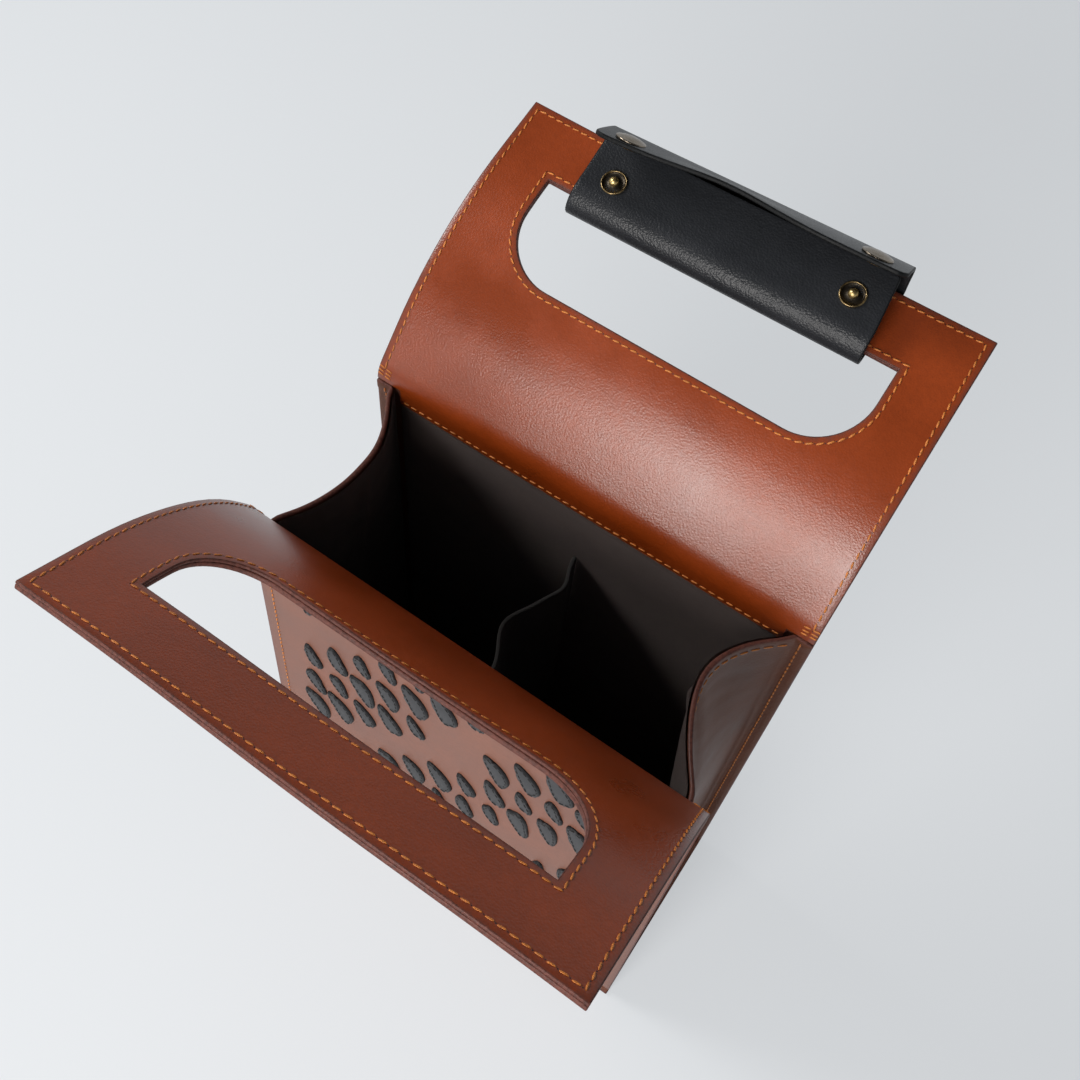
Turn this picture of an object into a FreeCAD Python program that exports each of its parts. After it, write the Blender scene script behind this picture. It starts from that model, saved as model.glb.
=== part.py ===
import FreeCAD, Part
import math
import os

from FreeCAD import Vector

# Two-bottle leather carrier. Origin: centre of the base's underside.
# +Z is up, +X runs along the width, +Y points to the side that carries the grip wrap.

# Body, in millimetres
PANEL_WIDTH = 208.0
BASE_DEPTH = 100.0
MOUTH_DEPTH = 86.4
WALL_HEIGHT = 290.0

# Thicknesses
OUTER_LEATHER = 2.0
FACING_LEATHER = 1.4
GUSSET_LEATHER = 1.6
BASE_LEATHER = 2.0
BOARD = 2.4
LINING = 0.8
DIVIDER_PLY = 0.9
WRAP_LEATHER = 1.8
PATCH_LEATHER = 1.2

# Flaps: lengths are measured along the leather, from the fold to the outer edge
FLAP_LENGTH = 132.0
RAIL_WIDTH = 28.5
CUTOUT_WIDTH = 157.0
CUTOUT_REACH = 41.0
CUTOUT_CORNER = 25.0
REAR_LEAD_ANGLE = 49.5
REAR_LEAD_RUN = 23.0
REAR_RAIL_ANGLE = 13.0
FRONT_LEAD_ANGLE = 62.0
FRONT_LEAD_RUN = 14.0
FRONT_RAIL_ANGLE = 28.5

# Gussets: the bow is how far a web comes inwards from its flanges
SEAM_WIDTH = 9.0
GUSSET_TOP_DROP = 5.0
GUSSET_SHOULDER = 205.0
GUSSET_BOW_LOW = 4.0
GUSSET_BOW_TOP = 20.5

# Facing bands and divider
FACING_DROP = 14.0
DIVIDER_HEIGHT = 238.0
DIVIDER_DIP = 10.0

# Grip wrap on the rear rail
WRAP_LENGTH = 130.0
WRAP_BELOW_RAIL = 1.2
WRAP_TOP_REACH = 2.5
WRAP_TOP_BEND = 3.0
FRONT_LEAF = 26.5
LEAF_BEYOND_SNAP = 8.5
FRONT_LEAF_OPEN = 8.0
CLOSING_LEAF_OPEN = 50.0
RAIL_SLACK = 2.8

# Press studs
SNAP_SPACING = 103.0
SNAP_REACH = 12.8
SNAP_GAP = 2.4
STUD_FLANGE_R = 5.3
STUD_FLANGE = 0.8
STUD_DISH_R = 4.5
STUD_DISH = 0.4
STUD_NECK_R = 1.5
STUD_BALL_R = 2.1
STUD_HEIGHT = 3.7
EYELET_R = 4.5
EYELET_HEAD = 0.6
EYELET_SHANK_R = 1.1
EYELET_SEAT = 0.5
CAP_R = 6.3
CAP_CROWN = 1.9
SOCKET_R = 5.0
SOCKET_BORE_R = 2.9
BARREL_WALL = 0.5

# Patches on the front panel
PATCH_LONG = 25.0
PATCH_WIDE = 11.0
PATCH_MARGIN = 21.0
PATCH_ROW = 27.0
PATCH_STEP = 14.2
PATCH_BAND = 112.0
PATCH_BAND_SHARE = 0.7
PATCH_BAND_SLOPE = 1.3
PATCH_SWAY = 60.0
PATCH_LEAN = 0.22
PATCH_TILT = 0.2
PATCH_SHRINK = 0.32
PATCH_UNEVEN = 0.11
PATCH_SQUARE = 0.02
PATCH_POINTS = 10

# Clearances
FOLD_GAP = 0.3
GLUE_GAP = 0.1
LINING_END_GAP = 2.6
FIT_GAP = 0.4
SHANK_GAP = 0.1
CUT_OVER = 40.0

# Worked out from the sizes above
STACK = OUTER_LEATHER + FACING_LEATHER
BEAD_R = STACK / 2
SEAM_PLANE = OUTER_LEATHER - BEAD_R
FOLD_Y = MOUTH_DEPTH / 2 - BEAD_R
BASE_Y = BASE_DEPTH / 2 - BEAD_R
WALL_LEAN = math.atan2(BASE_Y - FOLD_Y, WALL_HEIGHT)
WALL_DOWN = WALL_LEAN - math.pi / 2
WALL_RUN = math.hypot(BASE_Y - FOLD_Y, WALL_HEIGHT)
FOLD = Vector(0, FOLD_Y, WALL_HEIGHT)
FLOOR_Z = BASE_LEATHER + BOARD + LINING
FLANGE_ROOT = PANEL_WIDTH / 2 - SEAM_WIDTH
LINING_HALF = FLANGE_ROOT - LINING_END_GAP
GUSSET_TOP = WALL_HEIGHT - GUSSET_TOP_DROP
WRAP_HALF = WRAP_LEATHER / 2
LEAF_PITCH = WRAP_LEATHER + FOLD_GAP
WRAP_BACK_V = -BEAD_R - WRAP_HALF
FRONT_LEAF_V = BEAD_R + STACK + RAIL_SLACK + WRAP_HALF
CLOSING_LEAF_V = FRONT_LEAF_V + WRAP_LEATHER + SNAP_GAP
WRAP_BEND = (FRONT_LEAF_V - WRAP_BACK_V) / 2
WRAP_BEND_U = -RAIL_WIDTH - WRAP_BELOW_RAIL
CAP_REACH = WRAP_TOP_REACH - WRAP_BEND_U - SNAP_REACH
CLOSING_LEAF = CAP_REACH + LEAF_BEYOND_SNAP


def forward(angle):
    """Unit vector at an angle in the YZ plane."""
    return Vector(0, math.cos(angle), math.sin(angle))


def leftward(angle):
    """Unit vector a quarter turn to the left of an angle in the YZ plane."""
    return Vector(0, -math.sin(angle), math.cos(angle))


def flap_path(lead_angle, lead_run, rail_angle):
    """Middle of a flap: a straight lead, a gentle curl and the straight rail. Its left is the inside."""
    curl = FLAP_LENGTH - lead_run - RAIL_WIDTH
    turn = math.radians(rail_angle - lead_angle)
    return FOLD, math.radians(lead_angle), [(lead_run, 0.0), (curl, turn), (RAIL_WIDTH, 0.0)]


def wall_path(first, last):
    """Path down a wall, between two distances from the fold. Its left is the outside."""
    return FOLD + forward(WALL_DOWN) * first, WALL_DOWN, [(last - first, 0.0)]


def place_on(path, distance):
    """Point and heading at a distance along a path."""
    spot, angle, steps = path
    for length, turn in steps:
        run = min(distance, length)
        if turn == 0.0:
            spot = spot + forward(angle) * run
        else:
            radius = length / turn
            centre = spot + leftward(angle) * radius
            angle = angle + turn * run / length
            spot = centre - leftward(angle) * radius
        distance = distance - run
    return spot, angle


def path_end(path):
    """Point and heading at the end of a path."""
    return place_on(path, sum(length for length, turn in path[2]))


def line(first, last):
    """Straight edge."""
    return Part.LineSegment(first, last).toShape()


def arc(first, middle, last):
    """Round edge through three points."""
    return Part.Arc(first, middle, last).toShape()


def trace(path, offset):
    """Edges of a path moved to its left by an offset, with their first and last points."""
    spot, angle, steps = path
    first = spot + leftward(angle) * offset
    last = first
    edges = []
    for length, turn in steps:
        if turn == 0.0:
            spot = spot + forward(angle) * length
            target = spot + leftward(angle) * offset
            edges.append(line(last, target))
        else:
            radius = length / turn
            centre = spot + leftward(angle) * radius
            middle = centre - leftward(angle + turn / 2) * (radius - offset)
            angle = angle + turn
            spot = centre - leftward(angle) * radius
            target = centre - leftward(angle) * (radius - offset)
            edges.append(arc(last, middle, target))
        last = target
    return edges, first, last


def bead(centre, angle, low, high, radius):
    """Edges of a layer's rounded end, on a circle behind its first point."""
    def on_circle(offset):
        back = math.sqrt(max(radius * radius - offset * offset, 0.0))
        return centre - forward(angle) * back + leftward(angle) * offset

    edges = [arc(on_circle(low), on_circle((low + high) / 2), on_circle(high))]
    for offset in (low, high):
        foot = centre + leftward(angle) * offset
        if on_circle(offset).distanceToPoint(foot) > GLUE_GAP:
            edges.append(line(on_circle(offset), foot))
    return edges


def layer(path, low, high, width, round_start=0.0, round_end=0.0):
    """Sheet along a path between two offsets, with plain or rounded ends."""
    low_edges, low_first, low_last = trace(path, low)
    high_edges, high_first, high_last = trace(path, high)
    edges = low_edges + high_edges
    if round_start:
        edges += bead(path[0], path[1], low, high, round_start)
    else:
        edges.append(line(low_first, high_first))
    if round_end:
        spot, angle = path_end(path)
        edges += bead(spot, angle + math.pi, -high, -low, round_end)
    else:
        edges.append(line(low_last, high_last))
    face = Part.Face(Part.Wire(Part.sortEdges(edges)[0]))
    sheet = face.extrude(Vector(width, 0, 0))
    sheet.translate(Vector(-width / 2, 0, 0))
    return sheet


def mirror_front(shape):
    """The same shape on the front side."""
    return shape.mirror(Vector(0, 0, 0), Vector(0, 1, 0))


def mirror_left(shape):
    """The same shape on the left side."""
    return shape.mirror(Vector(0, 0, 0), Vector(1, 0, 0))


def slab(half_x, half_y, low, high):
    """Box centred on the Z axis."""
    return Part.makeBox(2 * half_x, 2 * half_y, high - low, Vector(-half_x, -half_y, low))


def below(z):
    """Everything under a height."""
    return slab(PANEL_WIDTH, BASE_DEPTH, z - CUT_OVER, z)


def wall_inside(z):
    """Y of the inner face of the rear panel at a height."""
    middle = BASE_Y + (FOLD_Y - BASE_Y) * z / WALL_HEIGHT
    return middle - SEAM_PLANE / math.cos(WALL_LEAN)


def panel():
    """Rear panel: outer leather from the base to just under the fold."""
    path = wall_path(STACK + FOLD_GAP, WALL_RUN)
    sheet = layer(path, -SEAM_PLANE, BEAD_R, PANEL_WIDTH, round_start=BEAD_R)
    return sheet.cut(below(BASE_LEATHER))


def facing_band():
    """Rear facing band, inside the mouth and under the fold."""
    path = wall_path(STACK + FOLD_GAP, FACING_DROP)
    return layer(path, -BEAD_R, -SEAM_PLANE, 2 * LINING_HALF, round_start=BEAD_R)


def panel_lining():
    """Rear lining, from the facing band down to the base lining."""
    path = wall_path(FACING_DROP, WALL_RUN)
    sheet = layer(path, -SEAM_PLANE - LINING, -SEAM_PLANE, 2 * LINING_HALF)
    return sheet.cut(below(FLOOR_Z))


def gusset_section(z, bow):
    """Outline of the right gusset at a height: two flanges and the bowed web."""
    half = wall_inside(z)
    back = half - GUSSET_LEATHER
    edge = PANEL_WIDTH / 2
    inner = FLANGE_ROOT
    outer = FLANGE_ROOT + GUSSET_LEATHER
    edges = [
        line(Vector(edge, half, z), Vector(inner, half, z)),
        arc(Vector(inner, half, z), Vector(inner - bow, 0, z), Vector(inner, -half, z)),
        line(Vector(inner, -half, z), Vector(edge, -half, z)),
        line(Vector(edge, -half, z), Vector(edge, -back, z)),
        line(Vector(edge, -back, z), Vector(outer, -back, z)),
        arc(Vector(outer, -back, z), Vector(outer - bow, 0, z), Vector(outer, back, z)),
        line(Vector(outer, back, z), Vector(edge, back, z)),
        line(Vector(edge, back, z), Vector(edge, half, z)),
    ]
    return Part.Wire(edges)


def gusset_lining_section(z, bow):
    """Outline of the right gusset's lining at a height, concentric with the web's inner face."""
    span = wall_inside(z)
    radius = (span * span + bow * bow) / (2 * bow)
    centre = FLANGE_ROOT - bow + radius
    half = span - FACING_LEATHER - FIT_GAP
    near = radius + GLUE_GAP
    far = near + LINING

    def on_circle(reach, y):
        return Vector(centre - math.sqrt(reach * reach - y * y), y, z)

    edges = [
        arc(on_circle(near, half), on_circle(near, 0), on_circle(near, -half)),
        line(on_circle(near, -half), on_circle(far, -half)),
        arc(on_circle(far, -half), on_circle(far, 0), on_circle(far, half)),
        line(on_circle(far, half), on_circle(near, half)),
    ]
    return Part.Wire(edges)


def gusset_loft(section, foot):
    """Right gusset or its lining: flat low down, folded inwards towards the mouth."""
    sections = [
        section(foot, GUSSET_BOW_LOW),
        section(GUSSET_SHOULDER, GUSSET_BOW_LOW),
        section(GUSSET_TOP, GUSSET_BOW_TOP),
    ]
    return Part.makeLoft(sections, True, True)


def base_pieces():
    """Base leather, the stiff board on it and the lining on the board."""
    half_x = FLANGE_ROOT - GUSSET_BOW_LOW - FIT_GAP
    half_y = wall_inside(FLOOR_Z) - FIT_GAP
    board_top = BASE_LEATHER + BOARD
    return {
        "base_panel": slab(PANEL_WIDTH / 2, BASE_DEPTH / 2, 0, BASE_LEATHER),
        "base_board": slab(half_x, half_y, BASE_LEATHER, board_top),
        "base_lining": slab(half_x, half_y, board_top, FLOOR_Z),
    }


def divider_ply():
    """Right ply of the divider, between the two linings, with a dipped top edge."""
    low = wall_inside(FLOOR_Z) - LINING / math.cos(WALL_LEAN)
    high = wall_inside(DIVIDER_HEIGHT) - LINING / math.cos(WALL_LEAN)
    rear_top = Vector(0, high, DIVIDER_HEIGHT)
    rear_foot = Vector(0, low, FLOOR_Z)
    front_foot = Vector(0, -low, FLOOR_Z)
    front_top = Vector(0, -high, DIVIDER_HEIGHT)
    dip = Vector(0, 0, DIVIDER_HEIGHT - DIVIDER_DIP)
    edges = [
        line(rear_top, rear_foot),
        line(rear_foot, front_foot),
        line(front_foot, front_top),
        arc(front_top, dip, rear_top),
    ]
    return Part.Face(Part.Wire(edges)).extrude(Vector(DIVIDER_PLY, 0, 0))


def cutout(path):
    """Prism that opens the handle in a flap: sharp corners at the rail, round ones below."""
    rail = FLAP_LENGTH - RAIL_WIDTH
    middle, angle = place_on(path, rail - CUTOUT_REACH / 2)
    outer = (place_on(path, rail)[0] - middle).dot(forward(angle))
    inner = (place_on(path, rail - CUTOUT_REACH)[0] - middle).dot(forward(angle))
    half = CUTOUT_WIDTH / 2
    flat = half - CUTOUT_CORNER
    tangent = inner + CUTOUT_CORNER
    diagonal = CUTOUT_CORNER * math.sqrt(0.5)

    def spot(x, along):
        return middle + Vector(x, 0, 0) + forward(angle) * along - leftward(angle) * CUT_OVER

    edges = [
        line(spot(-half, outer), spot(half, outer)),
        line(spot(half, outer), spot(half, tangent)),
        arc(spot(half, tangent), spot(flat + diagonal, tangent - diagonal), spot(flat, inner)),
        line(spot(flat, inner), spot(-flat, inner)),
        arc(spot(-flat, inner), spot(-flat - diagonal, tangent - diagonal), spot(-half, tangent)),
        line(spot(-half, tangent), spot(-half, outer)),
    ]
    return Part.Face(Part.Wire(edges)).extrude(leftward(angle) * (2 * CUT_OVER))


def flap(path):
    """Outer leather and facing of a flap, with the handle cut through both."""
    leather = layer(path, -BEAD_R, SEAM_PLANE, PANEL_WIDTH, round_start=BEAD_R)
    facing = layer(path, SEAM_PLANE, BEAD_R, PANEL_WIDTH, round_start=BEAD_R)
    handle = cutout(path)
    return leather.cut(handle), facing.cut(handle)


def body_pieces():
    """Walls, gussets, linings and divider of the body."""
    gusset = gusset_loft(gusset_section, BASE_LEATHER)
    gusset_lining = gusset_loft(gusset_lining_section, FLOOR_Z)
    ply = divider_ply()
    pieces = {
        "right_gusset": gusset,
        "left_gusset": mirror_left(gusset),
        "right_gusset_lining": gusset_lining,
        "left_gusset_lining": mirror_left(gusset_lining),
        "divider_right_ply": ply,
        "divider_left_ply": mirror_left(ply),
    }
    for name, shape in (("panel", panel()), ("facing_band", facing_band()), ("lining", panel_lining())):
        pieces["rear_" + name] = shape
        pieces["front_" + name] = mirror_front(shape)
    return pieces


def flap_pieces(rear_path):
    """Both flaps, each an outer leather with its facing."""
    front_path = flap_path(FRONT_LEAD_ANGLE, FRONT_LEAD_RUN, FRONT_RAIL_ANGLE)
    rear_leather, rear_facing = flap(rear_path)
    front_leather, front_facing = flap(front_path)
    return {
        "rear_flap_leather": rear_leather,
        "rear_flap_facing": rear_facing,
        "front_flap_leather": mirror_front(front_leather),
        "front_flap_facing": mirror_front(front_facing),
    }


def patch_outline(x, drop, tilt, size):
    """Uneven long patch on the panel's outer face, at a distance down from the fold."""
    points = []
    for step in range(PATCH_POINTS):
        turn = 2 * math.pi * step / PATCH_POINTS
        swell = 1 + PATCH_UNEVEN * math.sin(3 * turn + x + drop) - PATCH_SQUARE * math.cos(4 * turn)
        along = PATCH_LONG / 2 * size * swell * math.cos(turn)
        across = PATCH_WIDE / 2 * size * swell * math.sin(turn)
        side = along * math.sin(tilt) + across * math.cos(tilt)
        down = drop + along * math.cos(tilt) - across * math.sin(tilt)
        face_spot = FOLD + forward(WALL_DOWN) * down + leftward(WALL_DOWN) * BEAD_R
        points.append(face_spot + Vector(x + side, 0, 0))
    curve = Part.BSplineCurve()
    curve.interpolate(points, PeriodicFlag=True)
    return Part.Face(Part.Wire(curve.toShape()))


def patches():
    """Raised patches in slanting bands, all over the front panel."""
    columns = int((PANEL_WIDTH - 2 * PATCH_MARGIN) // PATCH_STEP) + 1
    rows = int((WALL_RUN - 2 * PATCH_MARGIN - PATCH_ROW / 2) // PATCH_ROW) + 1
    raised = []
    for column in range(columns):
        x = (column - (columns - 1) / 2) * PATCH_STEP
        for row in range(rows):
            drop = PATCH_MARGIN + (row + column % 2 / 2) * PATCH_ROW
            phase = (drop + PATCH_BAND_SLOPE * x) / PATCH_BAND % 1.0
            if phase < PATCH_BAND_SHARE:
                tilt = PATCH_LEAN + PATCH_TILT * math.sin((x + drop) / PATCH_SWAY)
                size = 1 - PATCH_SHRINK * (0.5 + 0.5 * math.sin(1.7 * column + 2.3 * row))
                outline = patch_outline(x, drop, tilt, size)
                raised.append(outline.extrude(leftward(WALL_DOWN) * PATCH_LEATHER))
    return mirror_front(Part.makeCompound(raised))


def turned_to(shape, spot, axis):
    """Move a shape made along +Z to a point, along an axis."""
    placed = shape.copy()
    placed.Placement = FreeCAD.Placement(spot, FreeCAD.Rotation(Vector(0, 0, 1), axis))
    return placed


def rod(radius, low, high):
    """Cylinder along +Z between two heights."""
    return Part.makeCylinder(radius, high - low, Vector(0, 0, low))


def stud():
    """Stud: a dished flange with a ball on a neck, and a seat for the eyelet's shank."""
    ball_z = STUD_HEIGHT - STUD_BALL_R
    ball = Part.makeSphere(STUD_BALL_R, Vector(0, 0, ball_z))
    dish = rod(STUD_DISH_R, STUD_FLANGE - STUD_DISH, STUD_FLANGE)
    flange = rod(STUD_FLANGE_R, 0, STUD_FLANGE).cut(dish)
    above = rod(STUD_FLANGE_R, 0, STUD_HEIGHT)
    post = rod(STUD_NECK_R, 0, ball_z).fuse(ball).common(above)
    seat = rod(EYELET_SHANK_R + SHANK_GAP, 0, EYELET_SEAT)
    return flange.fuse(post).cut(seat).removeSplitter()


def eyelet():
    """Eyelet: a flat head behind the leaf, with its shank through the leather."""
    head = rod(EYELET_R, -WRAP_LEATHER - EYELET_HEAD, -WRAP_LEATHER)
    return head.fuse(rod(EYELET_SHANK_R, -WRAP_LEATHER, EYELET_SEAT))


def cap():
    """Domed cap with a barrel through the closing leaf."""
    sphere_r = (CAP_R * CAP_R + CAP_CROWN * CAP_CROWN) / (2 * CAP_CROWN)
    sphere = Part.makeSphere(sphere_r, Vector(0, 0, CAP_CROWN - sphere_r))
    dome = sphere.common(rod(sphere_r, 0, CAP_CROWN))
    barrel = rod(SOCKET_BORE_R + BARREL_WALL, -WRAP_LEATHER, 0).cut(rod(SOCKET_BORE_R, -WRAP_LEATHER, 0))
    return dome.fuse(barrel)


def socket():
    """Socket ring on the inside of the closing leaf."""
    thickness = SNAP_GAP - STUD_FLANGE - FOLD_GAP
    low = -WRAP_LEATHER - thickness
    return rod(SOCKET_R, low, -WRAP_LEATHER).cut(rod(SOCKET_BORE_R, low, -WRAP_LEATHER))


def leaf(path, outward, reach, hole_r, fittings):
    """One leaf of the wrap with a hole at each snap, and its fittings on the outward face."""
    sheet = layer(path, -WRAP_HALF, WRAP_HALF, WRAP_LENGTH, round_start=WRAP_HALF)
    centre = place_on(path, reach)[0] + outward * WRAP_HALF
    hole = rod(hole_r, -CUT_OVER, CUT_OVER)
    pieces = {}
    for side, x in (("left", -SNAP_SPACING / 2), ("right", SNAP_SPACING / 2)):
        spot = centre + Vector(x, 0, 0)
        sheet = sheet.cut(turned_to(hole, spot, outward))
        for name, shape in fittings.items():
            pieces[side + "_" + name] = turned_to(shape, spot, outward)
    return sheet, pieces


def wrap_pieces(rear_path):
    """Sleeve round the rear rail, its two leaves and the press studs."""
    edge, rail_angle = path_end(rear_path)

    def rail_spot(u, v):
        return edge + forward(rail_angle) * u + leftward(rail_angle) * v

    whole_bend = (rail_spot(WRAP_BEND_U, FRONT_LEAF_V), rail_angle + math.pi, [(math.pi * WRAP_BEND, math.pi)])
    quarter = math.pi / 2 * WRAP_BEND
    hinge = place_on(whole_bend, quarter)[0]
    sleeve_start, sleeve_angle = place_on(whole_bend, quarter + LEAF_PITCH)
    half_bend = quarter - LEAF_PITCH
    back_run = WRAP_TOP_REACH - WRAP_TOP_BEND - WRAP_BEND_U
    riser = CLOSING_LEAF_V - LEAF_PITCH - WRAP_BACK_V - WRAP_TOP_BEND
    sleeve_steps = [
        (half_bend, half_bend / WRAP_BEND),
        (back_run, 0.0),
        (math.pi / 2 * WRAP_TOP_BEND, math.pi / 2),
        (riser, 0.0),
    ]
    sleeve_path = (sleeve_start, sleeve_angle, sleeve_steps)
    front_angle = rail_angle + math.radians(FRONT_LEAF_OPEN)
    front_path = (hinge, front_angle + math.pi / 2, [(quarter, -math.pi / 2), (FRONT_LEAF, 0.0)])
    closing_angle = rail_angle + math.pi - math.radians(CLOSING_LEAF_OPEN)
    closing_path = (rail_spot(WRAP_TOP_REACH, CLOSING_LEAF_V), closing_angle, [(CLOSING_LEAF, 0.0)])

    pieces = {}
    pieces["wrap_sleeve"] = layer(
        sleeve_path, -WRAP_HALF, WRAP_HALF, WRAP_LENGTH, round_start=WRAP_HALF, round_end=WRAP_HALF)
    pieces["wrap_front_leaf"], studs = leaf(
        front_path, leftward(front_angle), quarter + SNAP_REACH, EYELET_SHANK_R + SHANK_GAP,
        {"snap_stud": stud(), "snap_eyelet": eyelet()})
    pieces["wrap_closing_leaf"], caps = leaf(
        closing_path, leftward(closing_angle) * -1, CAP_REACH, SOCKET_BORE_R + BARREL_WALL + SHANK_GAP,
        {"snap_cap": cap(), "snap_socket": socket()})
    pieces.update(studs)
    pieces.update(caps)
    return pieces


def main():
    """Build every node and write it."""
    os.makedirs("parts", exist_ok=True)
    rear_path = flap_path(REAR_LEAD_ANGLE, REAR_LEAD_RUN, REAR_RAIL_ANGLE)
    nodes = body_pieces()
    nodes.update(base_pieces())
    nodes["front_applique"] = patches()
    nodes.update(flap_pieces(rear_path))
    nodes.update(wrap_pieces(rear_path))
    for name, shape in nodes.items():
        shape.exportStep("parts/" + name + ".step")


main()
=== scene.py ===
import math

import bmesh
import bpy
from mathutils import Matrix, Vector, noise


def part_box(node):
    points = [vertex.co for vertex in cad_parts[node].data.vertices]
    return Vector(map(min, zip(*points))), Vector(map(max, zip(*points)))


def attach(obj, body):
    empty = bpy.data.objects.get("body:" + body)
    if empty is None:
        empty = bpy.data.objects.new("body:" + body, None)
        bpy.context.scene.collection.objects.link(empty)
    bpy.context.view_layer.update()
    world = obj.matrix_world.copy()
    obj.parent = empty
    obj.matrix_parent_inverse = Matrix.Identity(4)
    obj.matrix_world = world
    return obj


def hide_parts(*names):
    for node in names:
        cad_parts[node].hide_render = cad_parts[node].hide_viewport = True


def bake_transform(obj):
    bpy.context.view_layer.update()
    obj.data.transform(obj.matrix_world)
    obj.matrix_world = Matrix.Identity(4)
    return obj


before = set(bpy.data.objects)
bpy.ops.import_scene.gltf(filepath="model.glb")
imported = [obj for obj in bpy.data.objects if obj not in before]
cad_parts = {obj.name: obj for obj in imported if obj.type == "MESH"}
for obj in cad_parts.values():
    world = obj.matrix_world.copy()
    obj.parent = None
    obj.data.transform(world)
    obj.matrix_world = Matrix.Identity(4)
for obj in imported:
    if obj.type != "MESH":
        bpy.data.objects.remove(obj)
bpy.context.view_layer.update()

bl_info = {
    "name": "Leather Bottle Carrier",
    "version": (1, 0, 0),
    "blender": (4, 5, 0),
    "location": "View3D > Sidebar > Carrier",
    "description": "Builds a bottle carrier's leather, lining, stitching and fittings round its CAD frame",
    "category": "Object",
}

MM = 0.001
TINY = 1e-6
# Words for the sides of the carrier along Y and along X
SIDES = {1: "rear", -1: "front"}
HANDS = {1: "right", -1: "left"}


def length(name, description, default):
    """Length property in metres."""
    return bpy.props.FloatProperty(
        name=name, description=description, default=default, unit="LENGTH", precision=5)


def angle(name, description, default):
    """Angle property, given in degrees."""
    return bpy.props.FloatProperty(
        name=name, description=description, default=math.radians(default), unit="ROTATION", subtype="ANGLE")


def colour(name, description, default):
    """Colour property."""
    return bpy.props.FloatVectorProperty(
        name=name, description=description, default=default, subtype="COLOR", size=3, min=0.0, max=1.0)


class CarrierSizes(bpy.types.PropertyGroup):
    """Sizes of the carrier, the same as in the CAD model."""

    panel_width: length("Panel width", "Width of the front and rear panels", 0.208)
    wall_height: length("Wall height", "Height of the folds above the ground", 0.290)
    base_depth: length("Base depth", "Depth of the base", 0.100)
    mouth_depth: length("Mouth depth", "Depth of the mouth", 0.0864)
    outer_leather: length("Outer leather", "Thickness of the outer leather", 0.0020)
    facing_leather: length("Facing leather", "Thickness of the flaps' facing", 0.0014)
    gusset_leather: length("Gusset leather", "Thickness of the gussets", 0.0016)
    base_leather: length("Base leather", "Thickness of the base panel", 0.0020)
    lining: length("Lining", "Thickness of the lining", 0.0008)
    flap_length: length("Flap length", "Length of a flap from the fold to its edge", 0.132)
    rail_width: length("Rail width", "Width of the leather outside the handle cut-out", 0.0285)
    cutout_width: length("Cut-out width", "Width of the handle cut-out", 0.157)
    cutout_reach: length("Cut-out reach", "Size of the cut-out along the flap", 0.041)
    cutout_corner: length("Cut-out corner", "Radius of the cut-out's two round corners", 0.025)
    rear_lead: angle("Rear lead", "Slope of the rear flap at its fold", 49.5)
    rear_run: length("Rear run", "Straight run of the rear flap from its fold", 0.023)
    rear_rail: angle("Rear rail", "Slope of the rear rail", 13.0)
    front_lead: angle("Front lead", "Slope of the front flap at its fold", 62.0)
    front_run: length("Front run", "Straight run of the front flap from its fold", 0.014)
    front_rail: angle("Front rail", "Slope of the front rail", 28.5)
    seam_width: length("Seam width", "Width of the gussets' flanges", 0.009)
    gusset_drop: length("Gusset drop", "Distance of the gussets' tops below the folds", 0.005)
    gusset_shoulder: length("Gusset shoulder", "Height where the gussets start to fold in", 0.205)
    gusset_bow_low: length("Gusset bow, low", "How far the gussets bow in at the base", 0.004)
    gusset_bow_top: length("Gusset bow, top", "How far the gussets fold in at the mouth", 0.0205)
    facing_drop: length("Facing drop", "How far the facings reach down inside the mouth", 0.014)
    divider_height: length("Divider height", "Height of the divider's ends", 0.238)
    divider_dip: length("Divider dip", "Dip of the divider's top edge", 0.010)
    wrap_length: length("Wrap length", "Length of the grip wrap along the rail", 0.130)
    wrap_leather: length("Wrap leather", "Thickness of the wrap", 0.0018)
    front_leaf: length("Front leaf", "Length of the wrap's front leaf after its bend", 0.0242)
    closing_leaf: length("Closing leaf", "Length of the wrap's closing leaf", 0.0282)
    front_open: angle("Front leaf angle", "How far the front leaf stands off the rail", 6.5)
    closing_open: angle("Closing leaf angle", "How far the closing leaf stands open", 50.0)
    snap_spacing: length("Snap spacing", "Distance between the two press studs", 0.103)
    stitch: length("Stitch", "Length of one stitch", 0.0030)
    stitch_gap: length("Stitch gap", "Gap between stitches", 0.0010)
    thread: length("Thread", "Radius of the thread", 0.00042)
    stitch_inset: length("Stitch inset", "Distance of the stitching from an edge", 0.0031)
    cutout_inset: length("Cut-out inset", "Distance of the stitching from a handle cut-out", 0.0028)


class CarrierColours(bpy.types.PropertyGroup):
    """Colours of the carrier's materials."""

    facing: colour("Facing", "Leather on the inside of the flaps", (0.255, 0.039, 0.0045))
    outer: colour("Outer leather", "Outside of the panels and flaps", (0.208, 0.084, 0.054))
    gusset: colour("Gusset", "Leather of the gussets", (0.125, 0.048, 0.028))
    edge: colour("Edge", "Burnished edges of the leather", (0.085, 0.028, 0.020))
    lining: colour("Lining", "Napped lining", (0.050, 0.035, 0.031))
    suede: colour("Divider", "Suede of the divider", (0.010, 0.009, 0.0085))
    patch: colour("Patches", "Leather of the raised patches", (0.037, 0.0375, 0.041))
    wrap: colour("Wrap", "Leather of the grip wrap", (0.018, 0.0195, 0.0225))
    thread: colour("Thread", "Thread of the seams", (0.62, 0.20, 0.035))
    dark_thread: colour("Dark thread", "Thread of the patches", (0.012, 0.011, 0.011))
    brass: colour("Brass", "Antique brass of the press studs", (0.36, 0.26, 0.13))
    floor: colour("Floor", "Floor under the carrier", (0.30, 0.311, 0.322))


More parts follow.
